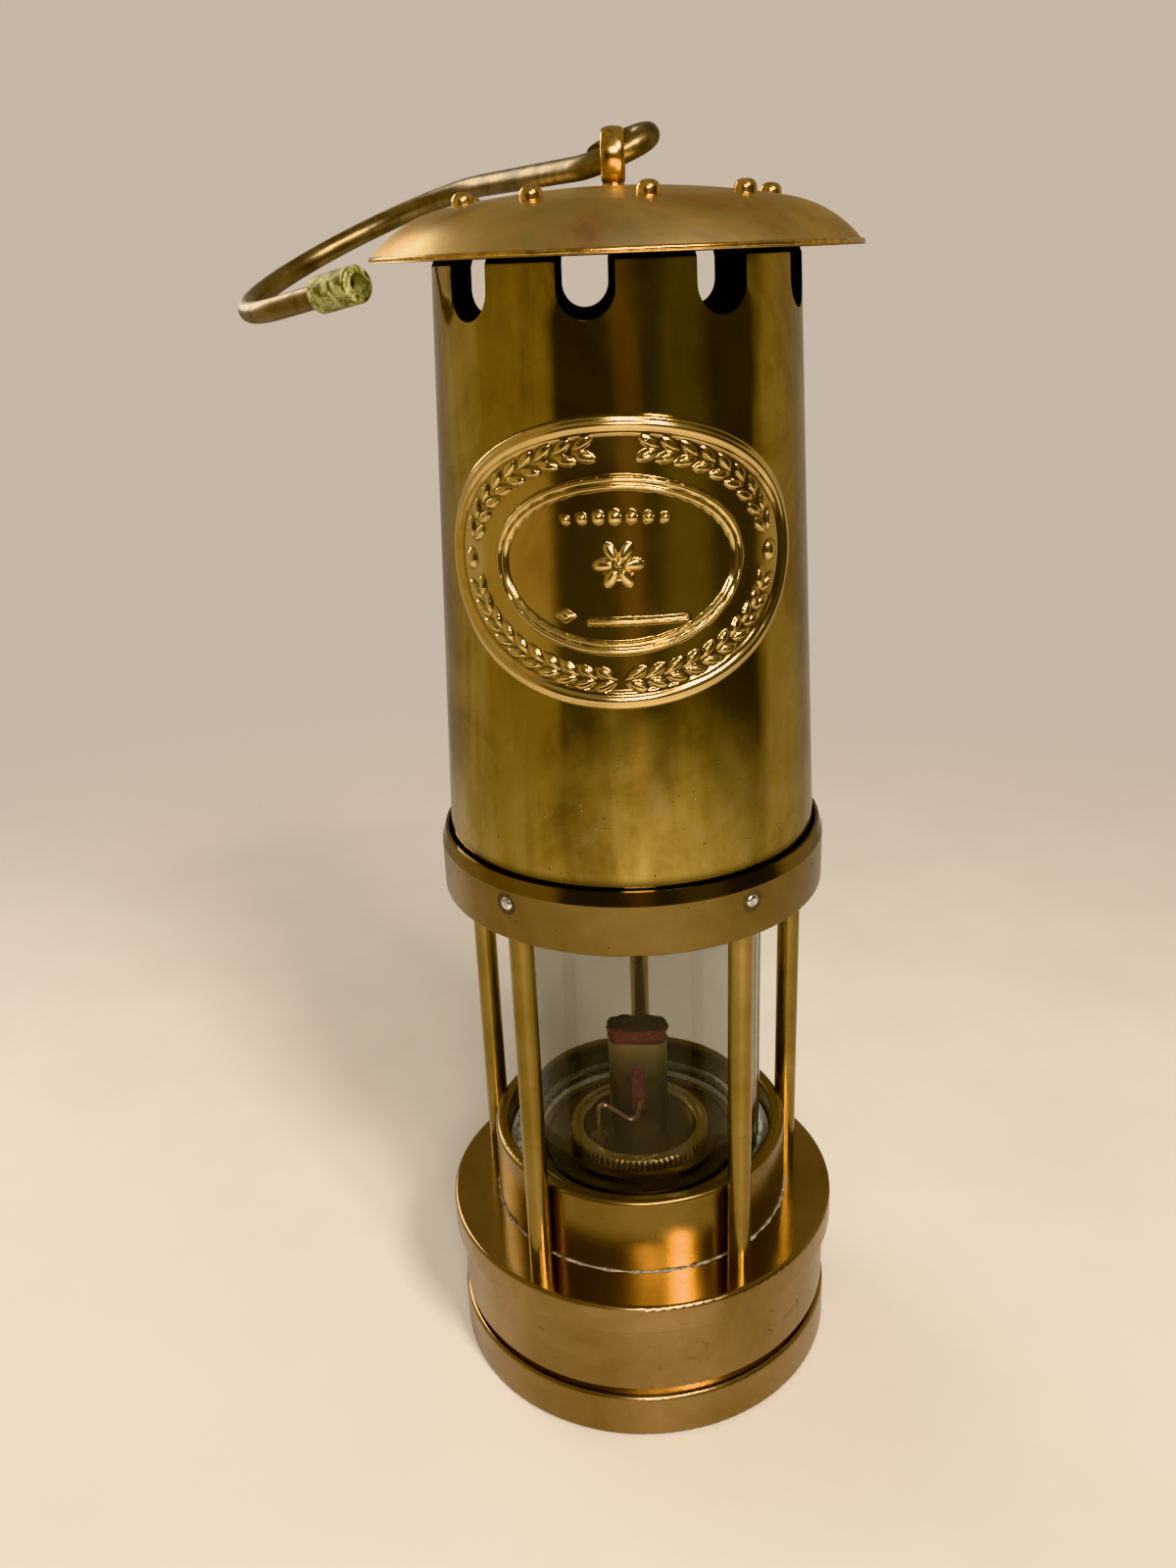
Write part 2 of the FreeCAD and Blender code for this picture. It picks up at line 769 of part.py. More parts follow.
def cone_shell(inner_offset, outer_offset):
    """A shell that follows the bonnet tube's outside, between two distances from it."""
    low, top = number("tube_low"), number("tube_bend")
    height = top - low
    base = V(0, 0, low)
    wide, narrow = tube_radius(low), tube_radius(top)
    outer = Part.makeCone(wide + outer_offset, narrow + outer_offset, height, base)
    inner = Part.makeCone(wide + inner_offset, narrow + inner_offset, height, base)
    return outer.cut(inner)


def build_badge():
    """An oval plate bent round the tube, with a raised rim and a raised inner oval."""
    a, b = number("badge_half_width"), number("badge_half_height")
    c, d = number("inner_oval_half_width"), number("inner_oval_half_height")
    gap = number("press_gap")
    plate = cone_shell(gap, number("badge_plate")).common(oval_prism(a, b))
    raised = cone_shell(gap, number("badge_rim"))
    rim_hole = oval_prism(a - number("rim_side_width"), b - number("rim_width"))
    outer_rim = raised.common(oval_prism(a, b)).cut(rim_hole)
    inner_hole = oval_prism(c - number("inner_rim_side_width"), d - number("inner_rim_width"))
    inner_rim = raised.common(oval_prism(c, d)).cut(inner_hole)
    badge = doc.addObject("Part::Feature", "badge")
    badge.Shape = plate.fuse([outer_rim, inner_rim]).removeSplitter()
    badge.Label = "badge"
    nodes.append(badge)


def build_hood():
    turned(
        "hood",
        [
            ("0", "hood_low"),
            ("hood_radius", "hood_low"),
            ("hood_shoulder_radius", "hood_shoulder", "hood_edge_arc"),
            ("0", "hood_top", "hood_crown_arc"),
        ],
    )
    hood = nodes[-1]
    before = hood.Shape.Volume
    sketch = new_sketch(hood, "hood_hollow", "XZ_Plane")
    outline(
        sketch,
        [
            ("0", "hood_low"),
            ("hood_bore", "hood_low"),
            ("hollow_shoulder_radius", "hollow_shoulder", "hood_edge_arc - hood_wall"),
            ("0", "hood_top - hood_wall", "hood_crown_arc - hood_wall"),
        ],
    )
    groove = hood.newObject("PartDesign::Groove", "hood_hollow_turn")
    groove.Profile = sketch
    groove.ReferenceAxis = (sketch, ["V_Axis"])
    groove.Angle = 360
    doc.recompute()
    if hood.Shape.Volume > before / 2:
        raise ValueError("the hood's hollow cuts nothing")
    drill(hood, "stem_hole", "0", "0", "stem_hole")


def build_rivets():
    """Nine round-headed rivets that hold the hood on the tube's tabs."""
    pieces = []
    for index in range(int(number("slot_count"))):
        angle = number("slot_turn") + (index + 0.5) * 360 / number("slot_count")
        place = azimuth(angle, number("rivet_circle"), 0)
        shank = doc.addObject("Part::Cylinder", "rivet_shank_%d" % index)
        shank.setExpression("Radius", cells("rivet_shank"))
        shank.setExpression("Height", cells("rivet_seat + rivet_overlap - rivet_low"))
        shank.Placement.Base = place + V(0, 0, number("rivet_low"))
        head = doc.addObject("Part::Cylinder", "rivet_head_%d" % index)
        head.setExpression("Radius", cells("rivet_radius"))
        head.setExpression("Height", cells("rivet_top - rivet_seat"))
        head.Placement.Base = place + V(0, 0, number("rivet_seat"))
        doc.recompute()
        dome = doc.addObject("Part::Fillet", "rivet_dome_%d" % index)
        dome.Base = head
        top = [i + 1 for i, e in enumerate(head.Shape.Edges)
               if len(e.Vertexes) == 1 and e.CenterOfMass.z > number("rivet_top - gap_thin")]
        dome.Edges = [(i, number("rivet_round"), number("rivet_round")) for i in top]
        rivet = doc.addObject("Part::Fuse", "rivet_%d" % index)
        rivet.Base, rivet.Tool = shank, dome
        pieces.append(rivet)
    doc.recompute()
    group = doc.addObject("Part::Compound", "hood_rivets")
    group.Links = pieces
    group.Label = "hood_rivets"
    nodes.append(group)


def build_swivel():
    """A round eye on a stem that turns in the hood, kept by a nut underneath."""
    eye = doc.addObject("Part::Cylinder", "eye_disc")
    eye.setExpression("Radius", cells("eye_radius"))
    eye.setExpression("Height", cells("eye_width"))
    across = FreeCAD.Rotation(Z_AXIS, X_AXIS)
    eye.Placement = FreeCAD.Placement(V(-number("eye_width") / 2, 0, number("eye_height")), across)
    hole = doc.addObject("Part::Cylinder", "eye_hole_bar")
    hole.setExpression("Radius", cells("eye_hole"))
    hole.setExpression("Height", cells("eye_width + eye_width"))
    hole.Placement = FreeCAD.Placement(V(-number("eye_width"), 0, number("eye_height")), across)
    loop = doc.addObject("Part::Cut", "eye_loop")
    loop.Base, loop.Tool = eye, hole
    doc.recompute()
    soft = doc.addObject("Part::Fillet", "eye_soft")
    soft.Base = loop
    size = number("eye_round")
    soft.Edges = [(i + 1, size, size) for i, e in enumerate(loop.Shape.Edges) if len(e.Vertexes) == 1]
    stem = doc.addObject("Part::Cylinder", "eye_stem")
    stem.setExpression("Radius", cells("stem_radius"))
    stem.setExpression("Height", cells("stem_top - stem_low"))
    stem.Placement.Base = V(0, 0, number("stem_low"))
    whole = doc.addObject("Part::Fuse", "swivel_eye")
    whole.Base, whole.Tool = soft, stem
    whole.Label = "swivel_eye"
    nodes.append(whole)

    nut = doc.addObject("Part::Prism", "nut_block")
    nut.Polygon = 6
    nut.setExpression("Circumradius", cells("nut_radius"))
    nut.setExpression("Height", cells("nut_top - nut_low"))
    nut.Placement.Base = V(0, 0, number("nut_low"))
    bore = doc.addObject("Part::Cylinder", "nut_bore")
    bore.setExpression("Radius", cells("stem_radius + press_gap"))
    bore.setExpression("Height", cells("nut_top - nut_low + overshoot + overshoot"))
    bore.Placement.Base = V(0, 0, number("nut_low - overshoot"))
    swivel_nut = doc.addObject("Part::Cut", "swivel_nut")
    swivel_nut.Base, swivel_nut.Tool = nut, bore
    swivel_nut.Label = "swivel_nut"
    nodes.append(swivel_nut)


def hook_placement():
    """Where the hook lies: its loop in the eye, drooping to the left and rolled towards -Y."""
    droop = FreeCAD.Rotation(Y_AXIS, -number("hook_droop"))
    roll = FreeCAD.Rotation(X_AXIS, number("hook_roll"))
    about = FreeCAD.Rotation(Z_AXIS, 180)
    return FreeCAD.Placement(V(0, 0, number("eye_height")), droop.multiply(roll).multiply(about))


def heading(degrees):
    turn = math.radians(degrees)
    return V(math.cos(turn), math.sin(turn), 0)


def hook_route():
    """The hook's centre line as edges in its own plane, and its end point and end direction."""
    loop_r = number("loop_radius")
    loop_centre = V(-number("loop_straight"), -loop_r, 0)
    loop_end = 90 + number("loop_turn")

    def on_loop(angle):
        return loop_centre + heading(angle) * loop_r

    edges = [Part.Arc(on_loop(loop_end), on_loop((90 + loop_end) / 2), on_loop(90)).toShape()]
    edges.append(Part.LineSegment(on_loop(90), ORIGIN).toShape())
    bend = number("neck_bend")
    bend_centre = V(0, -bend, 0)
    leave = 90 - number("shank_turn")
    bend_end = bend_centre + heading(leave) * bend
    edges.append(Part.Arc(ORIGIN, bend_centre + heading((90 + leave) / 2) * bend, bend_end).toShape())
    shank_end = bend_end + heading(-number("shank_turn")) * number("shank_length")
    edges.append(Part.LineSegment(bend_end, shank_end).toShape())
    crook = number("crook_radius")
    left = -number("shank_turn") + 90
    centre = shank_end + heading(left) * crook
    start_angle, end_angle = left - 180, left - 180 + number("crook_turn")
    crook_end = centre + heading(end_angle) * crook
    middle = centre + heading((start_angle + end_angle) / 2) * crook
    edges.append(Part.Arc(shank_end, middle, crook_end).toShape())
    direction = heading(end_angle + 90)
    tail_end = crook_end + direction * number("tail_length")
    edges.append(Part.LineSegment(crook_end, tail_end).toShape())
    return edges, tail_end, direction


def build_hook():
    edges, tail_end, direction = hook_route()
    spine = Part.Wire(edges)
    start = spine.OrderedVertexes[0].Point
    first = spine.OrderedEdges[0]
    normal = first.tangentAt(first.FirstParameter)
    section = Part.Wire(Part.makeCircle(number("rod_radius"), start, normal))
    rod = doc.addObject("Part::Feature", "hook_rod")
    rod.Shape = spine.makePipeShell([section], True, True)
    rod.Label = "hook_rod"
    rod.Placement = hook_placement()
    nodes.append(rod)

    grip = number("ferrule_grip")
    start = tail_end - direction * grip
    radius, length = number("ferrule_radius"), number("ferrule_length")
    sleeve = Part.makeCylinder(radius, length, start, direction)
    rims = [e for e in sleeve.Edges if len(e.Vertexes) == 1]
    sleeve = sleeve.makeFillet(number("ferrule_round"), rims)
    socket = Part.makeCylinder(number("rod_radius + ferrule_slip"), grip, start, direction)
    depth = number("ferrule_hole_depth")
    mouth_start = start + direction * (length - depth)
    mouth = Part.makeCylinder(number("ferrule_hole"), depth + number("overshoot"), mouth_start, direction)
    ferrule = doc.addObject("Part::Feature", "hook_ferrule")
    ferrule.Shape = sleeve.cut(socket).cut(mouth)
    ferrule.Label = "hook_ferrule"
    ferrule.Placement = hook_placement()
    nodes.append(ferrule)


def check_and_write():
    doc.recompute()
    for item in doc.Objects:
        if "Invalid" in item.State or "Error" in item.State:
            raise ValueError("%s is %s" % (item.Label, item.State))
    os.makedirs("parts", exist_ok=True)
    for node in nodes:
        if node.Shape.isNull() or not node.Shape.isValid():
            raise ValueError(node.Label + " has no valid shape")
        node.Shape.exportStep("parts/%s.step" % node.Label)
        box = node.Shape.BoundBox
        spans = (box.XMin, box.XMax, box.YMin, box.YMax, box.ZMin, box.ZMax)
        print(node.Label, "solids", len(node.Shape.Solids), "volume", round(node.Shape.Volume, 1),
              "box", [round(span, 1) for span in spans])


build_vessel()
build_wick_tube()
build_wick()
build_pricker()
build_frame()
build_bonnet()
build_swivel()
build_hook()
check_and_write()
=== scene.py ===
import math

import bmesh
import bpy
import numpy as np
from mathutils import Matrix, Vector


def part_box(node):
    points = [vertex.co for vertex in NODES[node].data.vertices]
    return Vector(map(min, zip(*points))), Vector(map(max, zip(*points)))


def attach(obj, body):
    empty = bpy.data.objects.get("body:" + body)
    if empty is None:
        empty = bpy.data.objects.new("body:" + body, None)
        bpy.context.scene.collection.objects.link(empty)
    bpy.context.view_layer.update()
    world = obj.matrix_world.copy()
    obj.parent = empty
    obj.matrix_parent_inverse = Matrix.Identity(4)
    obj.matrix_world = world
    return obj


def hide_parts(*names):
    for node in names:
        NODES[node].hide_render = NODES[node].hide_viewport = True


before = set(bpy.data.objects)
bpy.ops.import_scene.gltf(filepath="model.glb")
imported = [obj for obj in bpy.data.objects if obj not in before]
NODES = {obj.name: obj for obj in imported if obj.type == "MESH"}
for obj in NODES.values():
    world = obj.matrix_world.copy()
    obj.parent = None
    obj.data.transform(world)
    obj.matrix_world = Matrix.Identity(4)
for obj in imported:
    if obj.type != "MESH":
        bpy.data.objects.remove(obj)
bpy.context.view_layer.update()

MM = 0.001

# Sizes in millimetres, and heights above the floor, that several functions below share.
TUBE_FOOT, TUBE_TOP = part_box("bonnet_tube")[0].z / MM, 243.0
TUBE_FOOT_RADIUS, TUBE_TOP_RADIUS = 38.95, 34.0
BADGE_CENTRE = 193.4
BADGE_HALF_WIDTH, BADGE_HALF_HEIGHT = 37.0, 25.75
INNER_HALF_WIDTH, INNER_HALF_HEIGHT = 23.5, 15.5
KNURL_RADIUS, KNURL_DEPTH = 16.75, 0.42


# ---------------------------------------------------------------- camera, floor and light

def place_camera():
    """The camera stands in front of the lamp, level with the hood's rim, and looks down."""
    place, lens, sensor_width = (0.00735, -0.2631, 0.2434), 30.35, 36
    pitch, roll, heading = math.radians(21.69), math.radians(-2.32), math.radians(-3.57)
    ahead = Vector((math.sin(heading) * math.cos(pitch), math.cos(heading) * math.cos(pitch),
                    -math.sin(pitch)))
    right = Vector((math.cos(heading), -math.sin(heading), 0))
    up = right.cross(ahead)
    rolled_right = right * math.cos(roll) + up * math.sin(roll)
    rolled_up = up * math.cos(roll) - right * math.sin(roll)
    data = bpy.data.cameras.new("camera")
    data.sensor_width = sensor_width
    data.lens = lens
    data.clip_start = 0.01
    camera = bpy.data.objects.new("camera", data)
    camera.matrix_world = Matrix((rolled_right, rolled_up, -ahead)).transposed().to_4x4()
    camera.matrix_world.translation = place
    bpy.context.scene.collection.objects.link(camera)
    bpy.context.scene.camera = camera


def area_light(name, place, target, size, power, colour):
    data = bpy.data.lights.new(name, "AREA")
    data.shape = "RECTANGLE"
    data.size, data.size_y = size
    data.energy = power
    data.color = colour
    light = bpy.data.objects.new(name, data)
    light.location = place
    light.rotation_euler = (Vector(target) - Vector(place)).to_track_quat("-Z", "Y").to_euler()
    bpy.context.scene.collection.objects.link(light)


def light_studio():
    """A key light at the front right, a lower one in front and a broad one behind on the left."""
    area_light("key", place=(0.50, -0.80, 0.95), target=(0, 0, 0.12), size=(0.24, 0.24),
               power=12, colour=(1.0, 0.90, 0.77))
    area_light("front", place=(0.10, -0.95, 0.62), target=(0, 0.05, 0.08), size=(0.30, 0.20),
               power=7.5, colour=(1.0, 0.91, 0.79))
    area_light("side", place=(-0.75, 0.62, 0.60), target=(0, 0, 0.10), size=(0.5, 0.6),
               power=4, colour=(1.0, 0.94, 0.86))


class Graph:
    """Builds a node tree, for a material or for the world."""

    def __init__(self, tree):
        self.tree = tree

    def node(self, kind, **settings):
        made = self.tree.nodes.new("ShaderNode" + kind)
        for name, value in settings.items():
            setattr(made, name, value)
        return made

    def feed(self, socket, value):
        """Links an output to a socket, or sets the socket's own value."""
        if isinstance(value, bpy.types.NodeSocket):
            self.tree.links.new(value, socket)
        else:
            socket.default_value = value

    def coordinates(self, stretch=(1, 1, 1)):
        """Object coordinates in millimetres, stretched along the axes."""
        place = self.node("TexCoord").outputs["Object"]
        mapping = self.node("Mapping", vector_type="POINT")
        mapping.inputs["Scale"].default_value = [1000 * s for s in stretch]
        self.feed(mapping.inputs["Vector"], place)
        return mapping.outputs["Vector"]

    def ring_coordinates(self):
        """Coordinates that are the same all round the axis, for marks left by turning."""
        x, y, z = self.split(self.coordinates())
        join = self.node("CombineXYZ")
        self.feed(join.inputs["X"], self.length(x, y))
        self.feed(join.inputs["Z"], z)
        return join.outputs["Vector"]

    def split(self, vector):
        parts = self.node("SeparateXYZ")
        self.feed(parts.inputs[0], vector)
        return [parts.outputs[i] for i in range(3)]

    def calc(self, operation, a, b=0.0):
        made = self.node("Math", operation=operation)
        for socket, value in zip(made.inputs, (a, b)):
            self.feed(socket, value)
        return made.outputs[0]

    def length(self, x, y):
        return self.calc("SQRT", self.calc("ADD", self.calc("MULTIPLY", x, x), self.calc("MULTIPLY", y, y)))

    def noise(self, vector, scale, detail=4.0, roughness=0.55, distortion=0.0):
        made = self.node("TexNoise")
        self.feed(made.inputs["Vector"], vector)
        made.inputs["Scale"].default_value = scale
        made.inputs["Detail"].default_value = detail
        made.inputs["Roughness"].default_value = roughness
        made.inputs["Distortion"].default_value = distortion
        return made.outputs["Fac"]

    def cells(self, vector, scale):
        """Distance to the nearest of many scattered points."""
        made = self.node("TexVoronoi")
        self.feed(made.inputs["Vector"], vector)
        made.inputs["Scale"].default_value = scale
        return made.outputs["Distance"]

    def ramp(self, value, stops):
        """Colours, or greys, at positions from 0 to 1."""
        made = self.node("ValToRGB")
        elements = made.color_ramp.elements
        while len(elements) < len(stops):
            elements.new(1.0)
        for element, (position, colour) in zip(elements, stops):
            element.position = position
            element.color = (*colour, 1) if hasattr(colour, "__len__") else (colour,) * 3 + (1,)
        self.feed(made.inputs["Fac"], value)
        return made.outputs["Color"]

    def mix(self, share, a, b, blend="MIX"):
        made = self.node("Mix", data_type="RGBA", blend_type=blend)
        self.feed(made.inputs[0], share)
        for socket, value in ((made.inputs[6], a), (made.inputs[7], b)):
            self.feed(socket, (*value, 1) if isinstance(value, tuple) else value)
        return made.outputs[2]

    def span(self, value, low, high):
        """A 0 to 1 value spread from low to high."""
        made = self.node("MapRange")
        self.feed(made.inputs["Value"], value)
        made.inputs["To Min"].default_value = low
        made.inputs["To Max"].default_value = high
        return made.outputs["Result"]

    def step(self, value, low, high):
        """0 below low and 1 above high, smooth between them. low may be the larger one."""
        made = self.node("MapRange", interpolation_type="SMOOTHSTEP")
        self.feed(made.inputs["Value"], value)
        made.inputs["From Min"].default_value = low
        made.inputs["From Max"].default_value = high
        return made.outputs["Result"]

    def bump(self, height, distance_mm, strength=1.0, under=None):
        made = self.node("Bump")
        made.inputs["Strength"].default_value = strength
        made.inputs["Distance"].default_value = distance_mm * MM
        self.feed(made.inputs["Height"], height)
        if under is not None:
            self.feed(made.inputs["Normal"], under)
        return made.outputs["Normal"]


def room_stops():
    """The room round the lamp, for reflections. Each part runs between two angles in degrees, where
    0 is the camera's side and plus is to the right. The gaps between the parts are blends."""
    back_wall = (0.38, 0.32, 0.26)
    dark = (0.055, 0.045, 0.035)
    parts = [
        (-180, -145, back_wall),
        (-120, -95, (0.60, 0.50, 0.36)),
        (-90, -45, (0.48, 0.36, 0.20)),
        (-38, -3, dark),
        (3, 10, (0.18, 0.11, 0.07)),
        (15, 22, dark),
        (32, 50, (0.14, 0.12, 0.07)),
        (60, 88, dark),
        (98, 120, (0.55, 0.44, 0.31)),
        (140, 180, back_wall),
    ]
    stops = []
    for first, last, colour in parts:
        stops += [(first / 360 + 0.5, colour), (last / 360 + 0.5, colour)]
    return stops


def build_world():
    """A pale backdrop for the camera, and for reflections a room with lighter and darker parts."""
    world = bpy.data.worlds.new("studio")
    bpy.context.scene.world = world
    world.use_nodes = True
    world.node_tree.nodes.clear()
    g = Graph(world.node_tree)
    ceiling_tone, ground_tone, backdrop_tone = (0.36, 0.30, 0.22), (0.24, 0.19, 0.14), (0.60, 0.51, 0.42)
    x, y, z = g.split(g.node("TexCoord").outputs["Generated"])
    around = g.calc("ARCTAN2", x, g.calc("MULTIPLY", y, -1.0))
    turn = g.calc("ADD", g.calc("DIVIDE", around, 2 * math.pi), 0.5)
    room = g.ramp(turn, room_stops())
    ceiling = g.mix(g.step(z, 0.15, 0.70), room, ceiling_tone)
    everywhere = g.mix(g.step(z, -0.30, -0.75), ceiling, ground_tone)
    seen = g.node("LightPath").outputs["Is Camera Ray"]
    colour = g.mix(seen, everywhere, backdrop_tone)
    background = g.node("Background")
    g.feed(background.inputs["Color"], colour)
    background.inputs["Strength"].default_value = 1.0
    g.feed(g.node("OutputWorld").inputs["Surface"], background.outputs["Background"])


def lay_floor():
    """A pale floor that fades out before its edge."""
    radius, centre, fade_start_mm, fade_end_mm = 0.66, (0, -0.12, -0.0002), 230.0, 640.0
    mesh = bpy.data.meshes.new("floor")
    bm = bmesh.new()
    bmesh.ops.create_circle(bm, cap_ends=True, segments=96, radius=radius)
    bm.to_mesh(mesh)
    bm.free()
    floor = bpy.data.objects.new("floor", mesh)
    floor.location = centre
    bpy.context.scene.collection.objects.link(floor)
    material = bpy.data.materials.new("floor_paint")
    material.use_nodes = True
    g = Graph(material.node_tree)
    shader = material.node_tree.nodes["Principled BSDF"]
    place = g.coordinates()
    grain = g.noise(place, 0.02, 6)
    paint = g.ramp(grain, [(0.3, (0.70, 0.665, 0.62)), (0.7, (0.75, 0.715, 0.67))])
    g.feed(shader.inputs["Base Color"], paint)
    shader.inputs["Roughness"].default_value = 0.5
    x, y = g.split(place)[:2]
    g.feed(shader.inputs["Alpha"], g.step(g.length(x, y), fade_end_mm, fade_start_mm))
    mesh.materials.append(material)


# ---------------------------------------------------------------- materials

def new_material(name):
    material = bpy.data.materials.new(name)
    material.use_nodes = True
    return material, Graph(material.node_tree), material.node_tree.nodes["Principled BSDF"]


def outward(g):
    """Positive where the surface faces away from the lamp's axis, negative where it faces inwards."""
    place = g.split(g.coordinates())
    facing = g.split(g.node("NewGeometry").outputs["Normal"])
    along_x = g.calc("MULTIPLY", place[0], facing[0])
    along_y = g.calc("MULTIPLY", place[1], facing[1])
    return g.calc("ADD", along_x, along_y)


def turned_brass(name, light, dark, roughness, ring_depth=0.012, polished=None):
    """Satin brass with fine rings from the lathe, cloudy tarnish, a few stains and pits. polished gives
    a share of the surface that is glossier."""
    material, g, shader = new_material(name)
    place, rings = g.coordinates(), g.ring_coordinates()
    cloud = g.noise(place, 0.045, 5, 0.6, 0.4)
    between = tuple((a + b) / 2 for a, b in zip(light, dark))
    tone = g.ramp(cloud, [(0.32, dark), (0.52, between), (0.70, light)])
    fine = g.noise(rings, 2.6, 6, 0.75)
    tone = g.mix(g.span(fine, 0.0, 0.35), tone, tuple(c * 0.72 for c in light))
    stain = g.step(g.noise(place, 0.22, 6, 0.7, 0.8), 0.60, 0.74)
    tone = g.mix(g.calc("MULTIPLY", stain, 0.6), tone, (0.13, 0.085, 0.04))
    specks = g.step(g.cells(place, 0.32), 0.055, 0.035)
    specks = g.calc("MULTIPLY", specks, g.step(g.noise(place, 0.05, 2), 0.52, 0.62))
    tone = g.mix(g.calc("MULTIPLY", specks, 0.85), tone, (0.035, 0.022, 0.012))
    rough = g.span(g.noise(place, 0.09, 5, 0.65), *roughness)
    if polished:
        rough = g.calc("MULTIPLY", rough, g.span(polished(g), 1.0, 0.38))
    g.feed(shader.inputs["Base Color"], tone)
    shader.inputs["Metallic"].default_value = 1.0
    g.feed(shader.inputs["Roughness"], g.calc("ADD", rough, g.calc("MULTIPLY", stain, 0.15)))
    scratch = g.noise(g.coordinates((0.25, 0.25, 3.0)), 1.3, 5, 0.7)
    normal = g.bump(fine, ring_depth)
    normal = g.bump(scratch, 0.006, 1.0, normal)
    g.feed(shader.inputs["Normal"], g.bump(g.calc("MULTIPLY", specks, -1.0), 0.08, 1.0, normal))
    return material


def darken(g, shader, share, tone):
    """Mixes a tone over the base colour that a material already has."""
    socket = shader.inputs["Base Color"]
    below = socket.links[0].from_socket
    g.feed(socket, g.mix(share, below, tone))


def knurl_brass():
    """Worn brass with painted shade, near black, between the ridges of the knurl."""
    material = turned_brass("knurl_brass", (0.56, 0.44, 0.25), (0.36, 0.27, 0.14), (0.2, 0.32))
    g, shader = Graph(material.node_tree), material.node_tree.nodes["Principled BSDF"]
    x, y, z = g.split(g.coordinates())
    radius = g.length(x, y)
    dirt_and_shade_start, shade_full, fade_start, fade_end = [KNURL_RADIUS - d for d in (0.13, 0.33, 0.65, 0.85)]
    rim_height, shade_height = 53.0, 52.8
    # Painted shade: near black in the grooves between the knurl's ridges, below the rim, so the ridges
    # stand out.
    groove = g.step(radius, dirt_and_shade_start, shade_full)
    groove = g.calc("MULTIPLY", groove, g.step(radius, fade_end, fade_start))
    groove = g.calc("MULTIPLY", groove, g.step(z, rim_height, shade_height))
    darken(g, shader, g.calc("MULTIPLY", groove, 0.92), (0.02, 0.015, 0.008))
    return material


def lower_dark_tube_brass():
    """The wick tube: olive brass at its mouth, darker towards the bottom."""
    material = turned_brass("wick_tube_brass", (0.42, 0.34, 0.18), (0.24, 0.19, 0.09), (0.24, 0.40))
    g, shader = Graph(material.node_tree), material.node_tree.nodes["Principled BSDF"]
    dark_full, dark_end, raggedness = 66.0, 71.0, 5.0
    z = g.split(g.coordinates())[2]
    edge = g.calc("ADD", z, g.calc("MULTIPLY", g.noise(g.coordinates(), 0.2, 4), raggedness))
    # Darker towards the bottom, below a ragged line.
    lower_dark = g.step(edge, dark_end, dark_full)
    darken(g, shader, g.calc("MULTIPLY", lower_dark, 0.85), (0.045, 0.035, 0.022))
    return material


def bonnet_brass():
    """Polished sheet brass: olive gold, with brown streaks, waves, pits near the ring, and near black on
    its inside and along its top edge.
    """
    clouds_full, clouds_end = 150.0, 182.0
    pits_full, pits_end = 138.0, 165.0
    seam_full, seam_end = 132.6, 134.8
    dark_top_start, dark_full = 242.6, 244.0
    material, g, shader = new_material("bonnet_brass")
    place = g.coordinates()
    streaks = g.noise(g.coordinates((1.0, 1.0, 0.16)), 0.10, 5, 0.6, 0.6)
    patches = g.noise(place, 0.035, 6, 0.62, 1.2)
    blend = g.calc("ADD", g.calc("MULTIPLY", streaks, 0.45), g.calc("MULTIPLY", patches, 0.55))
    tone = g.ramp(blend, [
        (0.36, (0.15, 0.095, 0.032)),
        (0.44, (0.25, 0.17, 0.050)),
        (0.52, (0.345, 0.25, 0.082)),
        (0.60, (0.42, 0.31, 0.125)),
        (0.70, (0.33, 0.255, 0.145)),
    ])
    wipe = g.noise(g.coordinates((0.35, 0.35, 2.2)), 0.6, 6, 0.75, 0.3)
    tone = g.mix(g.span(wipe, 0.0, 0.24), tone, (0.44, 0.33, 0.155))
    z = g.split(place)[2]
    clouds = g.step(g.noise(g.coordinates((1, 1, 0.6)), 0.075, 5, 0.6, 1.6), 0.50, 0.66)
    clouds = g.calc("MULTIPLY", clouds, g.step(z, clouds_end, clouds_full))
    tone = g.mix(g.calc("MULTIPLY", clouds, 0.35), tone, (0.46, 0.36, 0.19))
    low = g.step(z, pits_end, pits_full)
    holes = g.step(g.cells(place, 0.62), 0.13, 0.07)
    where = g.step(g.noise(place, 0.11, 3, 0.6), 0.50, 0.60)
    pits = g.calc("MULTIPLY", g.calc("MULTIPLY", holes, where), low)
    tone = g.mix(g.calc("MULTIPLY", pits, 0.9), tone, (0.03, 0.02, 0.01))
    seam = g.step(z, seam_end, seam_full)
    tone = g.mix(g.calc("MULTIPLY", seam, 0.85), tone, (0.045, 0.03, 0.015))
    # Near black on the faces that look inwards and along the top edge under the hood, and rougher there.
    inner = g.step(outward(g), 0.0, -4.0)
    dark_inside_and_top = g.calc("MAXIMUM", inner, g.step(z, dark_top_start, dark_full))
    tone = g.mix(dark_inside_and_top, tone, (0.012, 0.011, 0.010))
    g.feed(shader.inputs["Base Color"], tone)
    shader.inputs["Metallic"].default_value = 1.0
    rough = g.span(g.noise(place, 0.06, 5, 0.6), 0.03, 0.17)
    rough = g.calc("ADD", rough, g.calc("MULTIPLY", clouds, 0.10))
    rough = g.calc("ADD", rough, g.calc("MULTIPLY", dark_inside_and_top, 0.5))
    g.feed(shader.inputs["Roughness"], rough)
    waves = g.noise(g.coordinates((1, 1, 0.45)), 0.055, 2, 0.45)
    normal = g.bump(waves, 0.75, 0.9)
    normal = g.bump(g.noise(g.coordinates((0.6, 0.6, 3.5)), 1.6, 6, 0.8), 0.0012, 1.0, normal)
    g.feed(shader.inputs["Normal"], g.bump(g.calc("MULTIPLY", pits, -1.0), 0.10, 1.0, normal))
    return material


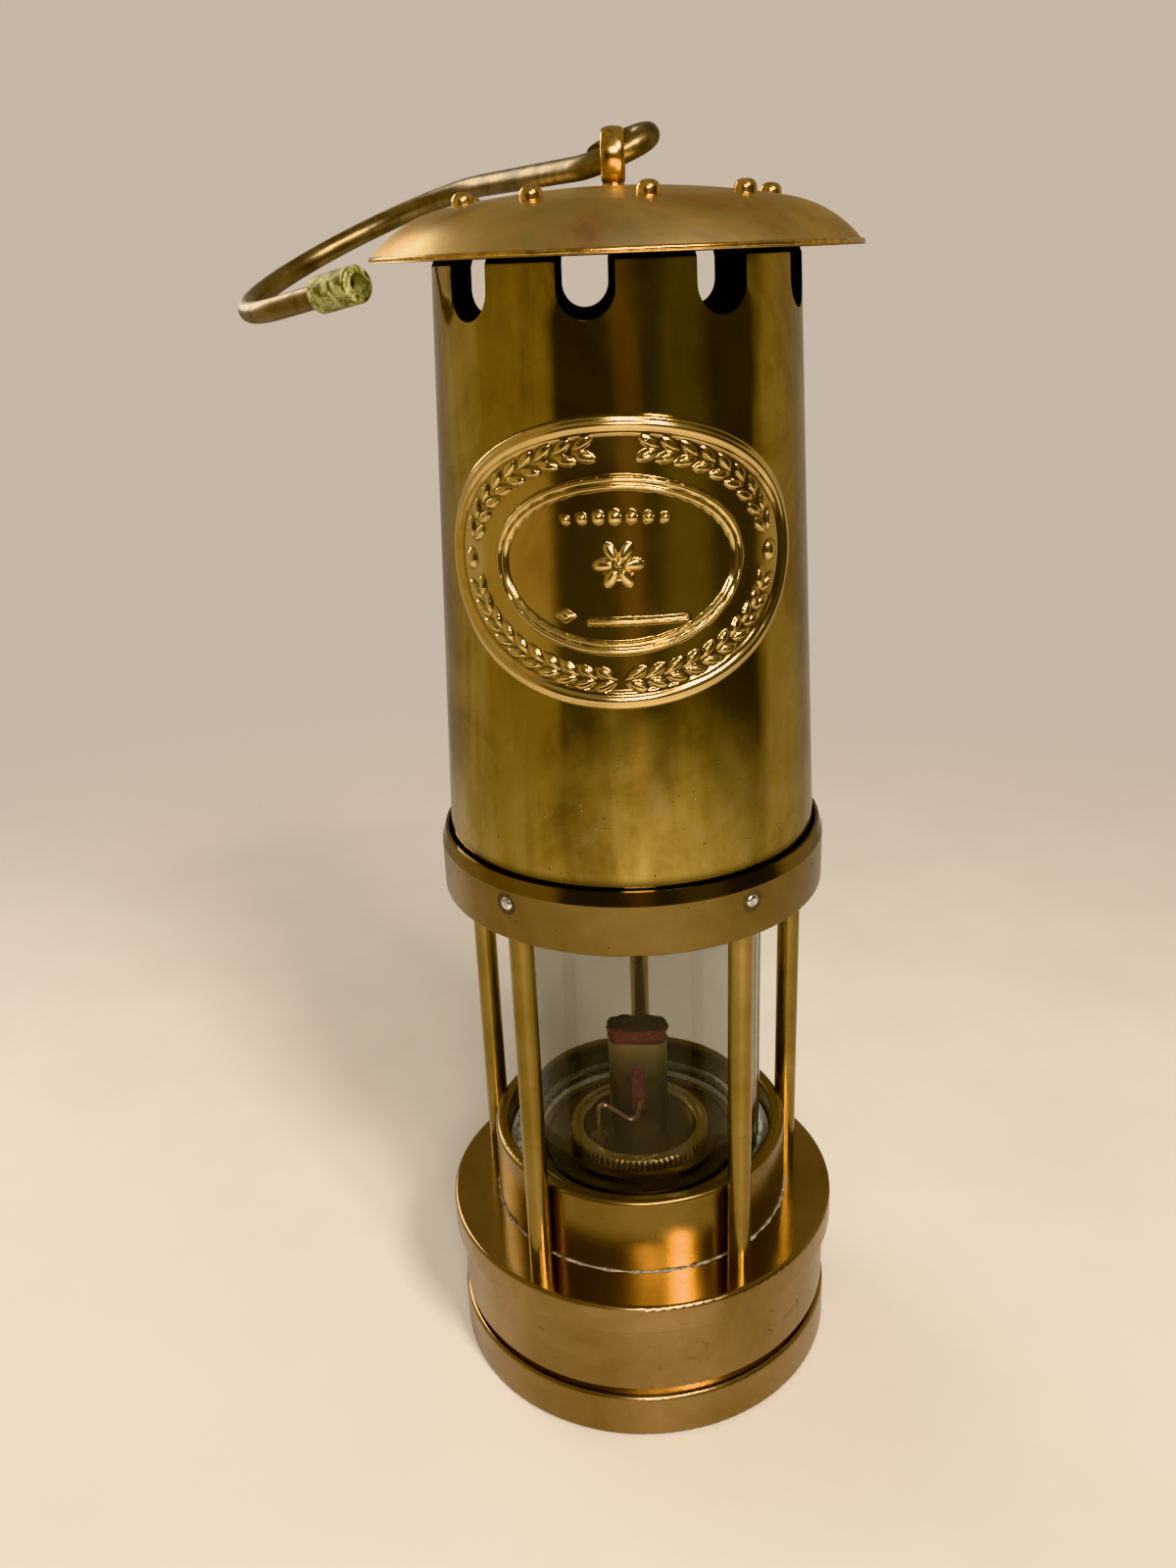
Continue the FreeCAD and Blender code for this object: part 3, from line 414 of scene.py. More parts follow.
def badge_brass():
    """The badge's brass: the same olive gold, brown in its hollows and bright on its raised parts."""
    material, g, shader = new_material("badge_brass")
    place = g.coordinates()
    patches = g.noise(place, 0.05, 6, 0.6, 0.8)
    tone = g.ramp(patches, [
        (0.34, (0.46, 0.31, 0.15)),
        (0.50, (0.66, 0.48, 0.22)),
        (0.66, (0.74, 0.57, 0.28)),
    ])
    height = g.node("Attribute", attribute_name="relief").outputs["Fac"]
    worn = g.step(height, 0.45, 0.85)
    hollow = g.step(height, 0.22, 0.06)
    edge_dirt = g.node("Attribute", attribute_name="dirt").outputs["Fac"]
    tone = g.mix(g.calc("MULTIPLY", worn, 0.6), tone, (0.66, 0.50, 0.24))
    tone = g.mix(g.calc("MULTIPLY", hollow, 0.25), tone, (0.20, 0.13, 0.04))
    tone = g.mix(g.calc("MULTIPLY", edge_dirt, 0.72), tone, (0.05, 0.035, 0.016))
    g.feed(shader.inputs["Base Color"], tone)
    shader.inputs["Metallic"].default_value = 1.0
    g.feed(shader.inputs["Roughness"], g.span(g.noise(place, 0.12, 5, 0.6), 0.09, 0.20))
    normal = g.bump(g.noise(place, 0.09, 2, 0.4), 0.15, 0.5)
    normal = g.bump(g.noise(g.coordinates((0.6, 0.6, 3.0)), 2.0, 6, 0.8), 0.002, 1.0, normal)
    g.feed(shader.inputs["Normal"], normal)
    return material


def hood_brass():
    """Polished brass with heat colours: purple brown, orange, straw and a little green, and painted shade,
    near black, on the faces that look down.
    """
    material, g, shader = new_material("hood_brass")
    place = g.coordinates()
    heat = g.noise(place, 0.042, 5, 0.6, 0.5)
    tone = g.ramp(heat, [
        (0.30, (0.42, 0.27, 0.19)),
        (0.40, (0.56, 0.37, 0.21)),
        (0.47, (0.55, 0.43, 0.25)),
        (0.52, (0.63, 0.44, 0.23)),
        (0.60, (0.68, 0.50, 0.26)),
        (0.70, (0.52, 0.37, 0.26)),
    ])
    tint = g.step(g.noise(place, 0.07, 4, 0.6, 0.5), 0.50, 0.70)
    tone = g.mix(g.calc("MULTIPLY", tint, 0.30), tone, (0.46, 0.47, 0.32))
    # Painted shade: the faces that look down, under the hood's brim, are coloured near black.
    facing = g.split(g.node("NewGeometry").outputs["Normal"])[2]
    under = g.step(facing, 0.02, -0.12)
    tone = g.mix(under, tone, (0.016, 0.014, 0.012))
    g.feed(shader.inputs["Base Color"], tone)
    shader.inputs["Metallic"].default_value = 1.0
    rough = g.span(g.noise(place, 0.10, 5, 0.6), 0.26, 0.44)
    shader.inputs["Specular Tint"].default_value = (0.80, 0.72, 0.56, 1)
    g.feed(shader.inputs["Roughness"], g.calc("ADD", rough, g.calc("MULTIPLY", under, 0.4)))
    normal = g.bump(g.noise(g.ring_coordinates(), 1.9, 6, 0.8), 0.006)
    g.feed(shader.inputs["Normal"], g.bump(g.noise(place, 0.8, 6, 0.75), 0.008, 1.0, normal))
    return material


def bright_brass():
    """The rivets, the hood's lip and the swivel eye: rubbed bright, with darker patches."""
    material, g, shader = new_material("bright_brass")
    place = g.coordinates()
    tone = g.ramp(g.noise(place, 0.5, 5, 0.6, 0.5), [(0.35, (0.36, 0.21, 0.08)), (0.6, (0.70, 0.47, 0.19))])
    g.feed(shader.inputs["Base Color"], tone)
    shader.inputs["Metallic"].default_value = 1.0
    g.feed(shader.inputs["Roughness"], g.span(g.noise(place, 1.1, 5), 0.12, 0.26))
    g.feed(shader.inputs["Normal"], g.bump(g.noise(place, 2.4, 5, 0.7), 0.012))
    return material


def rod_brass():
    """Dull drawn brass with grey and brown patches and fine scratches."""
    material, g, shader = new_material("rod_brass")
    place = g.coordinates()
    patch = g.noise(place, 0.12, 6, 0.65, 0.8)
    tone = g.ramp(patch, [
        (0.34, (0.11, 0.078, 0.042)),
        (0.47, (0.20, 0.15, 0.080)),
        (0.60, (0.28, 0.21, 0.11)),
        (0.72, (0.22, 0.19, 0.14)),
    ])
    rub = g.step(g.noise(place, 0.35, 5, 0.7, 0.6), 0.56, 0.70)
    tone = g.mix(g.calc("MULTIPLY", rub, 0.45), tone, (0.44, 0.32, 0.15))
    g.feed(shader.inputs["Base Color"], tone)
    shader.inputs["Metallic"].default_value = 1.0
    g.feed(shader.inputs["Roughness"], g.span(g.noise(place, 0.3, 5, 0.6), 0.25, 0.46))
    normal = g.bump(g.noise(place, 1.4, 6, 0.75), 0.03)
    g.feed(shader.inputs["Normal"], g.bump(g.noise(place, 0.35, 3, 0.5), 0.10, 0.6, normal))
    return material


def green_brass():
    """The ferrule: brass eaten by verdigris, yellow green with brown cracks."""
    material, g, shader = new_material("green_brass")
    place = g.coordinates()
    crust = g.noise(place, 0.42, 7, 0.68, 1.0)
    tone = g.ramp(crust, [
        (0.30, (0.10, 0.085, 0.035)),
        (0.42, (0.25, 0.22, 0.085)),
        (0.52, (0.38, 0.37, 0.15)),
        (0.62, (0.47, 0.49, 0.24)),
        (0.74, (0.56, 0.53, 0.30)),
    ])
    cracks = g.step(g.cells(place, 0.55), 0.62, 0.80)
    tone = g.mix(g.calc("MULTIPLY", cracks, 0.5), tone, (0.09, 0.07, 0.03))
    g.feed(shader.inputs["Base Color"], tone)
    g.feed(shader.inputs["Metallic"], g.step(crust, 0.55, 0.40))
    g.feed(shader.inputs["Roughness"], g.span(crust, 0.36, 0.80))
    g.feed(shader.inputs["Normal"], g.bump(crust, 0.16))
    return material


def steel(name, tone_low, tone_high, roughness):
    """Bare steel between two tones, for the pins and for the outer gauze's wire."""
    material, g, shader = new_material(name)
    place = g.coordinates()
    tone = g.ramp(g.noise(place, 0.9, 5, 0.6), [(0.35, tone_low), (0.65, tone_high)])
    g.feed(shader.inputs["Base Color"], tone)
    shader.inputs["Metallic"].default_value = 1.0
    g.feed(shader.inputs["Roughness"], g.span(g.noise(place, 1.7, 4), *roughness))
    g.feed(shader.inputs["Normal"], g.bump(g.noise(place, 3.0, 5, 0.7), 0.01))
    return material


def gauze_steel():
    """Woven steel wire as a bump pattern, with painted shade, near black, in the gaps between the wires,
    for the gauze that is hidden inside the other one.
    """
    material, g, shader = new_material("gauze_steel")
    wires_around, turns_per_mm = 110.0, 5.6
    x, y, z = g.split(g.coordinates())
    upright = g.calc("SINE", g.calc("MULTIPLY", g.calc("ARCTAN2", x, y), wires_around))
    across = g.calc("SINE", g.calc("MULTIPLY", z, turns_per_mm))
    weave = g.calc("MAXIMUM", upright, across)
    dirt = g.noise(g.coordinates(), 0.15, 5, 0.6)
    wire_tone = g.ramp(dirt, [(0.35, 0.09), (0.65, 0.26)])
    # Painted shade: the gaps between the wires are near black, for the dark inside of the gauze seen
    # through them.
    tone = g.mix(g.step(weave, 0.1, 0.7), (0.012, 0.011, 0.010), wire_tone)
    g.feed(shader.inputs["Base Color"], tone)
    shader.inputs["Metallic"].default_value = 1.0
    g.feed(shader.inputs["Roughness"], g.span(dirt, 0.42, 0.7))
    g.feed(shader.inputs["Normal"], g.bump(weave, 0.2))
    return material


def copper_wire():
    """The pricker: copper wire, worn pale."""
    material, g, shader = new_material("copper_wire")
    place = g.coordinates()
    tone = g.ramp(g.noise(place, 0.5, 5, 0.6), [(0.35, (0.42, 0.27, 0.20)), (0.6, (0.78, 0.60, 0.50))])
    g.feed(shader.inputs["Base Color"], tone)
    shader.inputs["Metallic"].default_value = 1.0
    g.feed(shader.inputs["Roughness"], g.span(g.noise(place, 1.2, 4), 0.2, 0.4))
    g.feed(shader.inputs["Normal"], g.bump(g.noise(place, 2.2, 5, 0.7), 0.02))
    return material


def lamp_glass():
    """Glass with a grey tint, partly its own slight tint and partly painted shade for the lamp's shadow
    seen through it, with faint waves, and wiped smears in its gloss.
    """
    material, g, shader = new_material("lamp_glass")
    place = g.coordinates()
    # Painted shade: the grey tint is darker than the glass's own, standing in for the shadow behind the
    # lamp that is seen through it.
    shader.inputs["Base Color"].default_value = (0.67, 0.67, 0.62, 1)
    shader.inputs["Transmission Weight"].default_value = 1.0
    shader.inputs["IOR"].default_value = 1.30
    smear = g.noise(g.coordinates((1, 1, 0.3)), 0.12, 6, 0.7, 1.0)
    g.feed(shader.inputs["Roughness"], g.span(g.step(smear, 0.52, 0.75), 0.0, 0.06))
    g.feed(shader.inputs["Normal"], g.bump(g.noise(place, 0.03, 2, 0.4), 0.12, 0.4))
    return material


def fibre(name, tones, bump_mm=0.25):
    """Pressed fibre or dry flux: pale, rough and crumbly."""
    material, g, shader = new_material(name)
    place = g.coordinates()
    crumbs = g.noise(place, 1.1, 7, 0.72, 0.6)
    g.feed(shader.inputs["Base Color"], g.ramp(crumbs, tones))
    g.feed(shader.inputs["Roughness"], g.span(crumbs, 0.75, 0.98))
    g.feed(shader.inputs["Normal"], g.bump(crumbs, bump_mm))
    return material


def wick_cotton():
    """Cotton braid, wine red from the fuel's dye and charred black at the top."""
    material, g, shader = new_material("wick_cotton")
    place = g.coordinates()
    red_end, char_start, raggedness = 79.7, 81.3, 3.6
    z = g.split(place)[2]
    ragged = g.calc("ADD", z, g.calc("MULTIPLY", g.noise(place, 0.45, 5, 0.7), raggedness))
    burnt = g.step(ragged, red_end, char_start)
    threads = g.noise(place, 1.5, 6, 0.75)
    cotton = g.ramp(threads, [
        (0.30, (0.08, 0.015, 0.018)),
        (0.55, (0.26, 0.055, 0.060)),
        (0.75, (0.46, 0.18, 0.16)),
    ])
    char = g.ramp(threads, [(0.38, (0.004, 0.002, 0.003)), (0.7, (0.045, 0.012, 0.016))])
    g.feed(shader.inputs["Base Color"], g.mix(burnt, cotton, char))
    g.feed(shader.inputs["Roughness"], g.span(threads, 0.75, 0.97))
    shader.inputs["Sheen Weight"].default_value = 0.15
    g.feed(shader.inputs["Normal"], g.bump(threads, 0.22))
    return material


def pin_dark_ring():
    """Brown and black, for the dark ring round each pin."""
    material, g, shader = new_material("pin_dark_ring")
    residue = g.noise(g.coordinates(), 1.6, 5)
    tone = g.ramp(residue, [(0.3, (0.02, 0.014, 0.008)), (0.7, (0.10, 0.065, 0.03))])
    g.feed(shader.inputs["Base Color"], tone)
    shader.inputs["Roughness"].default_value = 0.7
    return material


# ---------------------------------------------------------------- mesh helpers

def new_piece(name, verts, faces, body, material):
    """Makes a piece from points in millimetres. It rides on a body and takes a material slot."""
    mesh = bpy.data.meshes.new(name)
    mesh.from_pydata([tuple(c * MM for c in v) for v in verts], [], faces)
    mesh.update()
    for polygon in mesh.polygons:
        polygon.use_smooth = True
    piece = bpy.data.objects.new(name, mesh)
    bpy.context.scene.collection.objects.link(piece)
    mesh.materials.append(material)
    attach(piece, body)
    return piece


def loops_to_faces(rows, columns, close_rows=False):
    """Faces of a grid that joins up along its columns, and along its rows too if close_rows is set."""
    faces = []
    for i in range(rows if close_rows else rows - 1):
        for j in range(columns):
            a, b = i * columns + j, i * columns + (j + 1) % columns
            c, d = ((i + 1) % rows) * columns + (j + 1) % columns, ((i + 1) % rows) * columns + j
            faces.append((a, b, c, d))
    return faces


def lathe(name, profile, steps, body, material, wobble=None):
    """Turns a closed profile of (radius, height) about the axis. wobble moves each point."""
    verts = []
    for index, (radius, height) in enumerate(profile):
        for k in range(steps):
            angle = 2 * math.pi * k / steps
            r, z = (radius, height) if wobble is None else wobble(index, angle, radius, height)
            verts.append((r * math.cos(angle), r * math.sin(angle), z))
    faces = loops_to_faces(len(profile), steps, close_rows=True)
    return new_piece(name, verts, faces, body, material)


def signed_power(value, power):
    """A power that keeps the value's sign. It makes a circle squarer."""
    return math.copysign(abs(value) ** power, value)


def smooth_noise(angle, count, seed):
    """A repeatable wavy value round a circle, from -1 to 1."""
    total, largest_total = 0.0, 2.45
    for k in range(1, 7):
        total += math.sin(angle * (count + 7 * k) + seed * k * 1.7) / k
    return total / largest_total


# ---------------------------------------------------------------- pieces

def tube_radius(z):
    """The bonnet tube's outside radius at a height, both in millimetres."""
    share = (z - TUBE_FOOT) / (TUBE_TOP - TUBE_FOOT)
    return TUBE_FOOT_RADIUS + share * (TUBE_TOP_RADIUS - TUBE_FOOT_RADIUS)


def bump_shape(distance, half_width):
    """A rounded ridge: 1 on its line and 0 past its half width."""
    t = np.clip(1 - (distance / half_width) ** 2, 0, 1)
    return np.sqrt(t) * 0.6 + t * 0.4


def oval_distance(u, v, half_width, half_height):
    """Distance outside (plus) or inside (minus) an oval, in millimetres."""
    share = np.sqrt((u / half_width) ** 2 + (v / half_height) ** 2) + 1e-9
    slope = np.sqrt((u / half_width**2) ** 2 + (v / half_height**2) ** 2) / share + 1e-9
    return (share - 1) / slope


def leaf_shape(u, v, centre, turn):
    """One raised leaf, pointed at both ends, with a vein."""
    length, width, vein_width = 4.3, 1.75, 0.18
    du, dv = u - centre[0], v - centre[1]
    along = du * math.cos(turn) + dv * math.sin(turn)
    across = -du * math.sin(turn) + dv * math.cos(turn)
    reach = np.clip(1 - (2 * along / length) ** 2, 0, 1)
    side = np.clip(1 - (np.abs(across) / (width / 2 * reach + 1e-6)) ** 2, 0, 1)
    vein = 1 - 0.35 * np.exp(-((across / vein_width) ** 2))
    return np.where(reach > 0, np.sqrt(side) * np.sqrt(reach) * vein, 0)


def badge_relief(u, v):
    """Height of the badge's ornament, from 0 to 1: rims, a laurel wreath, a rosette, beads and a line."""
    leaf_crest, rosette_centre = 0.80, 0.4
    height = badge_rims(u, v)
    for centre, turn in wreath_leaves():
        height = np.maximum(height, leaf_crest * leaf_shape(u, v, centre, turn))
    for part in (side_beads(u, v), rosette(u, v - rosette_centre), bead_row(u, v), underline(u, v)):
        height = np.maximum(height, part)
    return height


def badge_rims(u, v):
    """A broad rim with a groove in it and a thin one inside it, then two round the badge's field."""
    outer = oval_distance(u, v, BADGE_HALF_WIDTH, BADGE_HALF_HEIGHT)
    inner = oval_distance(u, v, INNER_HALF_WIDTH, INNER_HALF_HEIGHT)
    groove_inset, groove_width, groove_depth = 1.05, 0.22, 0.30
    height = 0.95 * bump_shape(outer + 1.55, 1.45)
    height = height - groove_depth * np.exp(-(((outer + groove_inset) / groove_width) ** 2))
    rims = ((outer, 3.1, 0.35, 0.50), (inner, 0.55, 0.62, 0.85), (inner, 1.75, 0.55, 0.85))
    for oval, inset, half_width, crest in rims:
        height = np.maximum(height, crest * bump_shape(oval + inset, half_width))
    return height


def side_beads(u, v):
    """A bead at each end of the badge, between the wreath's upper and lower leaves."""
    reach, drop, squash, radius, crest = 30.6, 0.2, 0.82, 1.55, 0.95
    left, right = [crest * bump_shape(np.hypot(u - side * reach, (v + drop) * squash), radius)
                   for side in (-1, 1)]
    return np.maximum(left, right)


def bead_row(u, v):
    """Seven beads in a shallow arc above the rosette, smaller towards its ends."""
    spacing, shift, rise, sag, radius, shrink, crest = 2.9, 0.4, 8.6, 0.05, 1.25, 0.12, 0.8
    height = 0.0
    for k in range(-3, 4):
        distance = np.hypot(u - spacing * k + shift, v - rise + sag * k * k)
        height = np.maximum(height, crest * bump_shape(distance, radius - shrink * abs(k)))
    return height


def underline(u, v):
    """A rounded line under the rosette, with a lozenge to its left."""
    line_centre, line_half_length, line_drop, line_half_width, line_crest = 3.4, 8.6, 9.6, 0.62, 0.75
    lozenge_reach, lozenge_drop, half_width, half_height, steepness, crest = 9.6, 8.6, 2.0, 1.3, 1.6, 0.8
    along = np.maximum(np.abs(u - line_centre) - line_half_length, 0)
    line = line_crest * bump_shape(np.hypot(along, v + line_drop), line_half_width)
    lozenge = np.abs(u + lozenge_reach) / half_width + np.abs(v + lozenge_drop) / half_height
    return np.maximum(line, crest * np.clip(steepness * (1 - lozenge), 0, 1))


def wreath_leaves():
    """The centre and direction of each leaf. The leaves stand in pairs along the band between the
    ovals, on both sides, and point up from the badge's foot."""
    leaves = []
    half_width, half_height = 29.9, 20.25
    end_gap, side_gap, spacing, spread, lean = 0.10, 0.17, 3.55, 1.15, 0.42
    angle = end_gap
    while angle < math.pi - end_gap:
        u, v = half_width * math.sin(angle), -half_height * math.cos(angle)
        run_u, run_v = half_width * math.cos(angle), half_height * math.sin(angle)
        speed = math.hypot(run_u, run_v)
        if abs(angle - math.pi / 2) > side_gap:
            way = math.atan2(run_v, run_u)
            for side in (-1, 1):
                out = (run_v / speed * spread * side, -run_u / speed * spread * side)
                tilt = -lean * side
                leaves.append(((u + out[0], v + out[1]), way + tilt))
                leaves.append(((-u - out[0], v + out[1]), math.pi - way - tilt))
        angle += spacing / speed
    return leaves


def rosette(u, v):
    """A small flower of six petals and a centre bead."""
    distance, turn = np.hypot(u, v), np.arctan2(v, u)
    petal = np.abs(np.cos(3 * turn))
    edge = 1.6 + 2.7 * petal
    height = 0.85 * np.sqrt(np.clip(1 - (distance / edge) ** 2, 0, 1)) * (0.55 + 0.45 * petal)
    height = np.where(distance < 1.25, 0.35, height)
    return np.maximum(height, 0.9 * bump_shape(distance, 1.05))


def build_badge(material):
    """The oval badge, bent round the tube. Its back lies inside the tube's wall."""
    rings, spokes = 118, 640
    field_lift, relief_lift, back_lift, probe = 0.10, 0.95, -0.35, 0.45
    least_share, dirt_gain, dirt_and_shade_start, dirt_top = 0.004, 1.8, 0.15, 0.35
    rows = []
    shares = [1 - (k / (rings - 1)) ** 0.9 for k in range(rings)]
    angles = np.linspace(0, 2 * math.pi, spokes, endpoint=False)
    heights, dirt, verts = [], [], []
    for share in shares:
        share = max(share, least_share)
        u, v = BADGE_HALF_WIDTH * share * np.cos(angles), BADGE_HALF_HEIGHT * share * np.sin(angles)
        relief = badge_relief(u, v)
        near = np.maximum.reduce([badge_relief(u + du, v + dv)
                                  for du, dv in ((probe, 0), (-probe, 0), (0, probe), (0, -probe))])
        edge = 0.0 if share > 0.9999 else 1.0
        rows.append((u, v, edge * (field_lift + relief_lift * relief)))
        heights.extend(relief * edge)
        dirt.extend(np.clip((near - relief) * dirt_gain - dirt_and_shade_start, 0, 1) * (relief < dirt_top))
    for share in (0.15, 0.55, 0.85):
        u, v = BADGE_HALF_WIDTH * share * np.cos(angles), BADGE_HALF_HEIGHT * share * np.sin(angles)
        rows.append((u, v, np.full(spokes, back_lift)))
        heights.extend([0.0] * spokes)
        dirt.extend([0.0] * spokes)
    for u, v, lift in rows:
        z = BADGE_CENTRE + v
        radius = tube_radius(z)
        turn = u / (radius + 0.2)
        out = radius + 0.01 + lift
        verts.extend(zip(out * np.sin(turn), -out * np.cos(turn), z))
    faces = loops_to_faces(len(rows), spokes, close_rows=True)
    badge = new_piece("badge_relief", verts, faces, "bonnet", material)
    for name, values in (("relief", heights), ("dirt", dirt)):
        attribute = badge.data.attributes.new(name, "FLOAT", "POINT")
        attribute.data.foreach_set("value", np.array(values, np.float32))
    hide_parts("badge")


def build_burner_ring(material):
    """The ring that holds the burner, with a knurled edge and a stepped top."""
    ridges = 78

    def knurl(index, angle, radius, height):
        if index in (1, 2):
            phase = (angle * ridges / (2 * math.pi)) % 1
            radius -= KNURL_DEPTH * abs(2 * phase - 1) ** 0.8
        return radius, height

    profile = [(16.2, 50.42), (KNURL_RADIUS, 50.75), (KNURL_RADIUS, 52.75), (16.1, 53.3), (14.9, 53.38),
               (14.7, 52.9), (13.5, 52.9), (13.25, 52.6), (13.25, 50.42)]
    piece = lathe("knurled_burner_ring", profile, ridges * 6, "vessel", material, knurl)
    mark_sharp(piece)
    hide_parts("burner_ring")


def mark_sharp(piece, degrees=32):
    modifier = piece.modifiers.new("edges", "EDGE_SPLIT")
    modifier.split_angle = math.radians(degrees)


def build_wick(material):
    """A flat plaited wick. Above its tube it spreads, and its burnt top is lumpy and crumbly."""
    around, rows = 132, 190
    low, top, mouth = 16.0, 80.4, 75.6
    half_width, half_depth, strand_width = 5.75, 1.62, 1.9
    flare, flare_run, shoulder_run, round_wide, round_deep = 0.75, 1.4, 1.2, 0.8, 0.6
    chance = np.random.RandomState(11)
    verts = []
    for i in range(rows):
        share = i / (rows - 1)
        z = low + (top - low) * share ** 0.8
        spread = min(max((z - mouth) / flare_run, 0.0), 1.0)
        shoulder = min(max((z - (top - shoulder_run)) / shoulder_run, 0.0), 1.0)
        wide = half_width + flare * spread - round_wide * shoulder**2
        deep = half_depth + flare * spread - round_deep * shoulder**2
        for j in range(around):
            angle = 2 * math.pi * j / around
            x, y = signed_power(math.cos(angle), 0.35), signed_power(math.sin(angle), 0.6)
            strand = 1 if int((x * wide + 20) / strand_width) % 2 else -1
            plait = 0.035 * math.sin(x * wide * 3.6 + z * 3.4 * strand)
            lump = spread * (0.05 * math.sin(9 * angle + 1.7 * z) + 0.05 * math.sin(23 * angle - 3.1 * z))
            fluff = spread * 0.17
            size = 1 + (plait + lump) * (1 if spread else 0.6)
            jitter = chance.uniform(-fluff, fluff, 3)
            verts.append((x * wide * min(size, 1.03 + spread) + jitter[0], y * deep * size + jitter[1],
                          z + jitter[2] + spread * 0.25 * math.sin(7 * x + 5 * y)))
    faces = loops_to_faces(rows, around)
    close_end(verts, faces, 0, around, (0, 0, low), True, chance, 0.0)
    close_end(verts, faces, rows - 1, around, (0, 0, top + 0.1), False, chance, 0.30)
    piece = new_piece("plaited_wick", verts, faces, "wick_strip", material)
    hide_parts("wick")


def close_end(verts, faces, row, around, centre, flip, chance, rough):
    """Closes one end of a tube of loops with rings that shrink to a point."""
    last = [row * around + j for j in range(around)]
    for share in (0.82, 0.64, 0.46, 0.28, 0.12):
        fresh = []
        for j in range(around):
            x, y, z = verts[row * around + j]
            jitter = chance.uniform(-rough, rough, 3)
            fresh.append(len(verts))
            verts.append((x * share + jitter[0] * 0.5, y * share + jitter[1] * 0.4,
                          z * share + centre[2] * (1 - share) + jitter[2]))
        for j in range(around):
            k = (j + 1) % around
            face = (last[j], last[k], fresh[k], fresh[j])
            faces.append(face[::-1] if flip else face)
        last = fresh
    middle = len(verts)
    verts.append(centre)
    for j in range(around):
        face = (last[j], last[(j + 1) % around], middle)
        faces.append(face[::-1] if flip else face)


def build_outer_gauze(material):
    """The outer gauze as real wires, round its side and over its top."""
    wire_thickness = 0.36
    around, side_rows, corner_rows, top_rows = 112, 72, 4, 13
    low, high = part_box("outer_gauze")
    radius, corner, z_low, z_top = 22.7, 3.0, low.z / MM + 0.1, high.z / MM - 0.35
    verts = []
    for i in range(side_rows):
        z = z_low + (z_top - corner - z_low) * i / (side_rows - 1)
        verts += ring_of(radius, z, around)
    for k in range(1, corner_rows + 1):
        angle = math.pi / 2 * k / corner_rows
        reach = radius - corner * (1 - math.cos(angle))
        verts += ring_of(reach, z_top - corner + corner * math.sin(angle), around)
    for k in range(1, top_rows + 1):
        verts += ring_of((radius - corner) * (1 - k / (top_rows + 1)), z_top, around)
    faces = loops_to_faces(side_rows + corner_rows + top_rows, around)
    piece = new_piece("outer_wire_gauze", verts, faces, "glass_frame", material)
    wires = piece.modifiers.new("wires", "WIREFRAME")
    wires.thickness = wire_thickness * MM
    wires.use_even_offset = False
    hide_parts("outer_gauze")


def ring_of(radius, z, count):
    return [(radius * math.cos(2 * math.pi * k / count), radius * math.sin(2 * math.pi * k / count), z)
            for k in range(count)]


def build_crumb_ring(name, radius, z, width, height, seed, material):
    """An uneven bead of crumbs or flux that runs round the lamp on a surface."""

    def uneven(index, angle, r, h):
        size = 0.62 + 0.38 * smooth_noise(angle, 23, seed) + 0.2 * smooth_noise(angle, 61, seed + 2)
        size = max(size, 0.06)
        return radius + (r - radius) * size, z + (h - z) * size

    profile = [(radius, z), (radius + width, z), (radius + width * 0.8, z + height * 0.5),
               (radius + width * 0.35, z + height), (radius, z + height * 0.9)]
    lathe(name, profile, 720, "glass_frame", material, uneven)


def build_hood_lip(material):
    """The hood's rim, rolled to a thin bright edge."""
    rim_radius, rim_height, half_width, half_height, points = 44.72, 244.42, 0.56, 0.50, 14
    ring = []
    for k in range(points):
        angle = 2 * math.pi * k / points
        radius = rim_radius + half_width * math.cos(angle)
        ring.append((radius, rim_height + half_height * math.sin(angle)))

    def uneven(index, angle, radius, height):
        return radius, height + 0.05 * smooth_noise(angle, 5, 4)

    lathe("hood_lip", ring, 360, "bonnet", material, uneven)


def build_eye(material):
    """The swivel's eye: a broad, rounded loop on a stem that narrows as it meets the loop."""
    centre_z, loop_radius, around, section = 260.3, 3.98, 120, 36
    half_thickness, half_width, squareness = 0.94, 2.15, 0.85
    verts = []
    for i in range(around):
        angle = 2 * math.pi * i / around
        for j in range(section):
            turn = 2 * math.pi * j / section
            reach = loop_radius + half_thickness * signed_power(math.cos(turn), squareness)
            across = half_width * signed_power(math.sin(turn), squareness)
            verts.append((across, reach * math.sin(angle), centre_z + reach * math.cos(angle)))
    faces = loops_to_faces(around, section, close_rows=True)
    profile = [(0.02, 249.0), (1.9, 249.0), (2.2, 249.3), (2.2, 254.6), (2.05, 255.4), (1.9, 256.0),
               (1.6, 256.45), (0.02, 256.45)]
    steps, start = 48, len(verts)
    for radius, height in profile:
        verts += ring_of(radius, height, steps)
    for face in loops_to_faces(len(profile), steps, close_rows=True):
        faces.append(tuple(start + v for v in face))
    piece = new_piece("swivel_loop", verts, faces, "swivel", material)
    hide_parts("swivel_eye")


